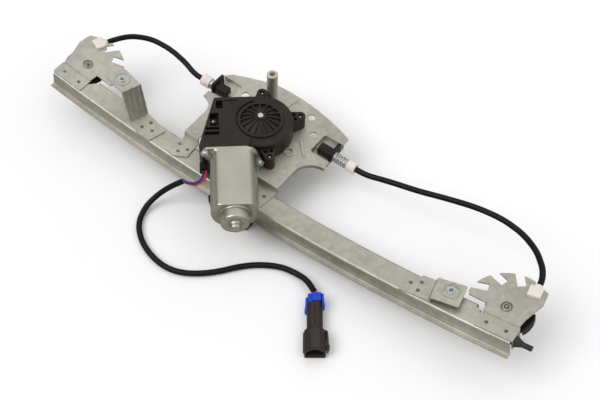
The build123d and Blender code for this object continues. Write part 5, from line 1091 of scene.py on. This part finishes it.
@dataclass
class Plug:
    """Two-way connector: barrel, hollow shroud with its ridges and latch, and a blue lock."""

    at: tuple[float, float] = (87.0, -82.0)
    turn: float = -54.0
    lift: float = 0.1
    start: float = 5.0
    shoulder: float = 35.0
    mouth: float = 59.0
    barrel: float = 7.7
    barrel_top: float = 14.6
    shroud: float = 10.2
    shroud_top: float = 17.9
    wall: float = 1.7
    slant: float = 3.0
    roof: float = 5.6
    pieces: list = field(default_factory=list)

    def frame(self) -> Axes:
        """Frame under the plug: x along it, z up."""
        flat = Axes(np.array((*self.at, self.lift)), *np.eye(3))
        return flat.moved(turn=self.turn)

    def loft(self, stations: tuple) -> Surface:
        """Loft along the plug's axis through box rings.

        Args:
            stations: For each ring its place along the axis, its shift across and its own sizes.

        Returns:
            The surface.
        """
        rings = []
        for along, shift, *sizes in stations:
            across, up = box_ring(*sizes).T
            rings.append(np.column_stack([np.full(len(up), along), across + shift, up]))
        return Surface.lofted(self.frame().place(rings))

    def body(self) -> Surface:
        """Barrel and shroud as one loft that turns in at the mouth, with its ridges and latch.

        Returns:
            The closed surfaces as one.
        """
        b, bt, s, st, w = self.barrel, self.barrel_top, self.shroud, self.shroud_top, self.wall
        x0, x1, x2 = self.start, self.shoulder, self.mouth
        slant, roof = self.slant, self.roof
        main = self.loft((
            (x0, 0, b - 0.6, 0.6, bt - 0.6, 1.2, slant), (x0 + 0.6, 0, b, 0, bt, 1.4, slant),
            (x1 - 2.4, 0, b, 0, bt, 1.4, slant), (x1, 0, s - 0.8, 0, st - 0.8, 1.4, roof),
            (x1 + 0.8, 0, s, 0, st, 1.4, roof), (x2 - 0.5, 0, s, 0, st, 1.4, roof),
            (x2, 0, s - 0.4, 0.4, st - 0.4, 1.2, roof),
            (x2, 0, s - w + 0.3, w - 0.3, st - w + 0.3, 0.9, roof),
            (x2 - 0.6, 0, s - w, w, st - w, 0.8, roof), (x1 + w, 0, s - w, w, st - w, 0.8, roof),
        ))
        ridges = [
            self.loft((
                (x0 + 2, y, 0.5, bt - 3, bt + 1, 0.4), (x0 + 2.6, y, 0.8, bt - 3, bt + 1.7, 0.5),
                (x1 + 1, y, 0.8, bt - 3, bt + 2.2, 0.5), (x1 + 3, y, 0.5, bt - 3, bt + 2.4, 0.4),
            )) for y in (-1.3, 1.5)
        ]
        band = self.loft((
            (x1 - 0.6, 0.1, 1.4, bt, st + 0.1, 0.5), (x1 + 0.6, 0.1, 1.8, bt, st + 0.6, 0.6),
            (x2 - 1.4, 0.1, 3.1, bt, st + 0.6, 0.6), (x2 - 0.8, 0.1, 2.8, bt + 0.6, st + 0.1, 0.5),
        ))
        y = -s - 0.3
        rail = self.loft((
            (x1 + 2, y, 0.5, 3, st - 8, 0.4), (x1 + 2.6, y, 0.9, 2.4, st - 7.4, 0.5),
            (x2 - 3.6, y, 0.9, 2.4, st - 7.4, 0.5), (x2 - 3, y, 0.5, 3, st - 8, 0.4),
        ))
        latch = self.loft((
            (x1 + 1, s + 0.6, 1.0, 5.5, 12.5, 0.8), (x1 + 4, s + 1.2, 1.1, 4.8, 13.2, 0.9),
            (x1 + 15, s + 1.7, 1.1, 4.8, 13.2, 0.9), (x1 + 18, s + 2.4, 1.3, 4.8, 13.2, 0.9),
            (x1 + 21.5, s + 1.5, 0.9, 5.2, 12.8, 0.7),
        ))
        foot = self.loft((
            (x1 + 16, s - 0.4, 1.6, 7.6, 10.4, 0.7), (x1 + 20, s + 0.6, 1.2, 7.6, 10.4, 0.7),
        ))
        return merged([main, *ridges, band, rail, latch, foot])

    def lock(self) -> Surface:
        """Lock: a collar behind the barrel and a finger down each side of it, hooked at its end.

        Returns:
            The closed surfaces as one.
        """
        b = self.barrel
        collar = self.loft((
            (-5.0, 0, b - 1.6, 1.4, 11.6, 1.6), (-4.4, 0, b - 1.0, 0.8, 12.4, 1.8),
            (4.6, 0, b - 1.0, 0.8, 12.4, 1.8), (5.2, 0, b - 1.6, 1.4, 11.6, 1.6),
        ))
        bridge = self.loft((
            (-4.6, 1.8, 3.9, 11.4, 14.8, 1.2), (-4.0, 1.8, 4.6, 11.4, 15.6, 1.4),
            (4.4, 1.8, 4.6, 11.4, 15.6, 1.4), (5.0, 1.8, 3.9, 11.4, 14.8, 1.2),
        ))
        right = self.loft((
            (-4.0, b - 0.6, 0.9, 3.0, 13.6, 0.7), (-3.4, b - 0.1, 1.2, 2.4, 14.2, 0.9),
            (6.0, b + 0.5, 1.1, 2.4, 14.2, 0.9), (8.0, b + 0.9, 1.3, 2.6, 14.0, 0.9),
            (9.6, b + 0.3, 0.7, 3.0, 13.4, 0.6),
        ))
        left = self.loft((
            (-1.0, 0.6 - b, 0.9, 2.0, 10.6, 0.7), (-0.4, 0.1 - b, 1.2, 1.4, 11.2, 0.9),
            (10.0, -b - 0.5, 1.1, 1.4, 11.2, 0.9), (12.2, -b - 0.9, 1.3, 1.6, 11.0, 0.9),
            (13.8, -b - 0.3, 0.7, 2.0, 10.4, 0.6),
        ))
        return merged([collar, bridge, right, left])

    def build(self) -> None:
        """Builds the plug's two pieces."""
        body = self.body().built("plug_body", PLUG_BROWN, "black_plastic")
        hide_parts("connector_body")
        lock = self.lock().built("plug_lock", LOCK_BLUE, "lock_blue")
        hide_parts("connector_lock")
        self.pieces = [body, lock]


@dataclass
class Harness:
    """Two wires from the motor's socket, and the sleeve that takes them to the plug."""

    plug: Plug
    sleeve_radius: float = 3.0
    wire_radius: float = 1.3
    sleeve_route: tuple = (
        (-94.5, -61.5, 34), (-104, -67, 26), (-116, -79, 13), (-121, -96, 3.6),
        (-111, -118, 3.2), (-84, -135, 3.2), (-48, -139, 3.2), (-17, -119, 3.2),
        (8, -86, 3.2), (34, -69, 3.4), (55, -66.5, 5.0), (70, -68.5, 7.6), (81.2, -75.0, 9.0),
    )
    socket: Triple = (-29.0, -12.0, 8.0)
    spread: float = 2.9
    wire_lead: float = 8.0
    wire_gap: float = 0.8
    wire_middle: tuple = ((-73.6, -59.2, 45.3), (-80.0, -63.8, 42.0))

    def wire_route(self, shift: float) -> list[np.ndarray]:
        """Route of one wire: straight out of the socket, over, and into the sleeve.

        Args:
            shift: The wire's place across the socket in millimetres.

        Returns:
            The route's points.
        """
        x, y, depth = self.socket
        mouth = LAYOUT.motor(LAYOUT.motor_face + depth)
        start, lead = mouth.place([[x + shift, y, 0], [x + shift, y, self.wire_lead]])
        sleeve = np.array(self.sleeve_route[:2], float)
        into = (sleeve[1] - sleeve[0]) / np.linalg.norm(sleeve[1] - sleeve[0])
        over = np.cross(np.cross(into, (0, 0, 1)), into)
        over = -shift * over / np.linalg.norm(over)
        middle = [np.array(point) + over for point in self.wire_middle]
        return [start, lead, *middle, sleeve[0] + over - self.wire_gap * into]

    def build(self) -> None:
        plug = self.plug
        sleeve = cord_curve("sleeve", self.sleeve_route, self.sleeve_radius, VINYL)
        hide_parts("harness_sheath")
        [c * MM for c in self.sleeve_route[0]]
        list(plug.pieces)
        for name, shift, finish, length in (
            ("wire_blue", -self.spread / 2, WIRE_BLUE, 0.038),
            ("wire_red", self.spread / 2, WIRE_RED, 0.039),
        ):
            route = self.wire_route(shift)
            wire = cord_curve(name + "_cord", route, self.wire_radius, finish)
            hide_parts(name)
            [float(c) * MM for c in route[0]]


def dress_nodes() -> None:
    """Gives every CAD node its finish."""
    for name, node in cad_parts.items():
        dress(node, NODE_FINISHES[name.removeprefix("left_").removeprefix("right_")])
    LOG.info("finishes: %d CAD nodes", len(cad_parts))


def main() -> None:
    """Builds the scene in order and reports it."""
    plug = Plug()
    for assembly in (
        Studio(),
        plug,
        Harness(plug),
        MotorCan(),
        GearboxScrews(),
        Threads(),
        Adjuster(Side.LEFT, edge=-76.5, cap_in=-81.5, cap_out=-93.0, turns=3.6),
        Adjuster(Side.RIGHT, edge=81.5, cap_in=99.0, cap_out=109.0, turns=7.0),
        Rivets(),
        SheetMarks(),
    ):
        assembly.build()
        LOG.info("%s is built", type(assembly).__name__)
    dress_nodes()
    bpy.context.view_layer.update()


if __name__ == "__main__":
    main()
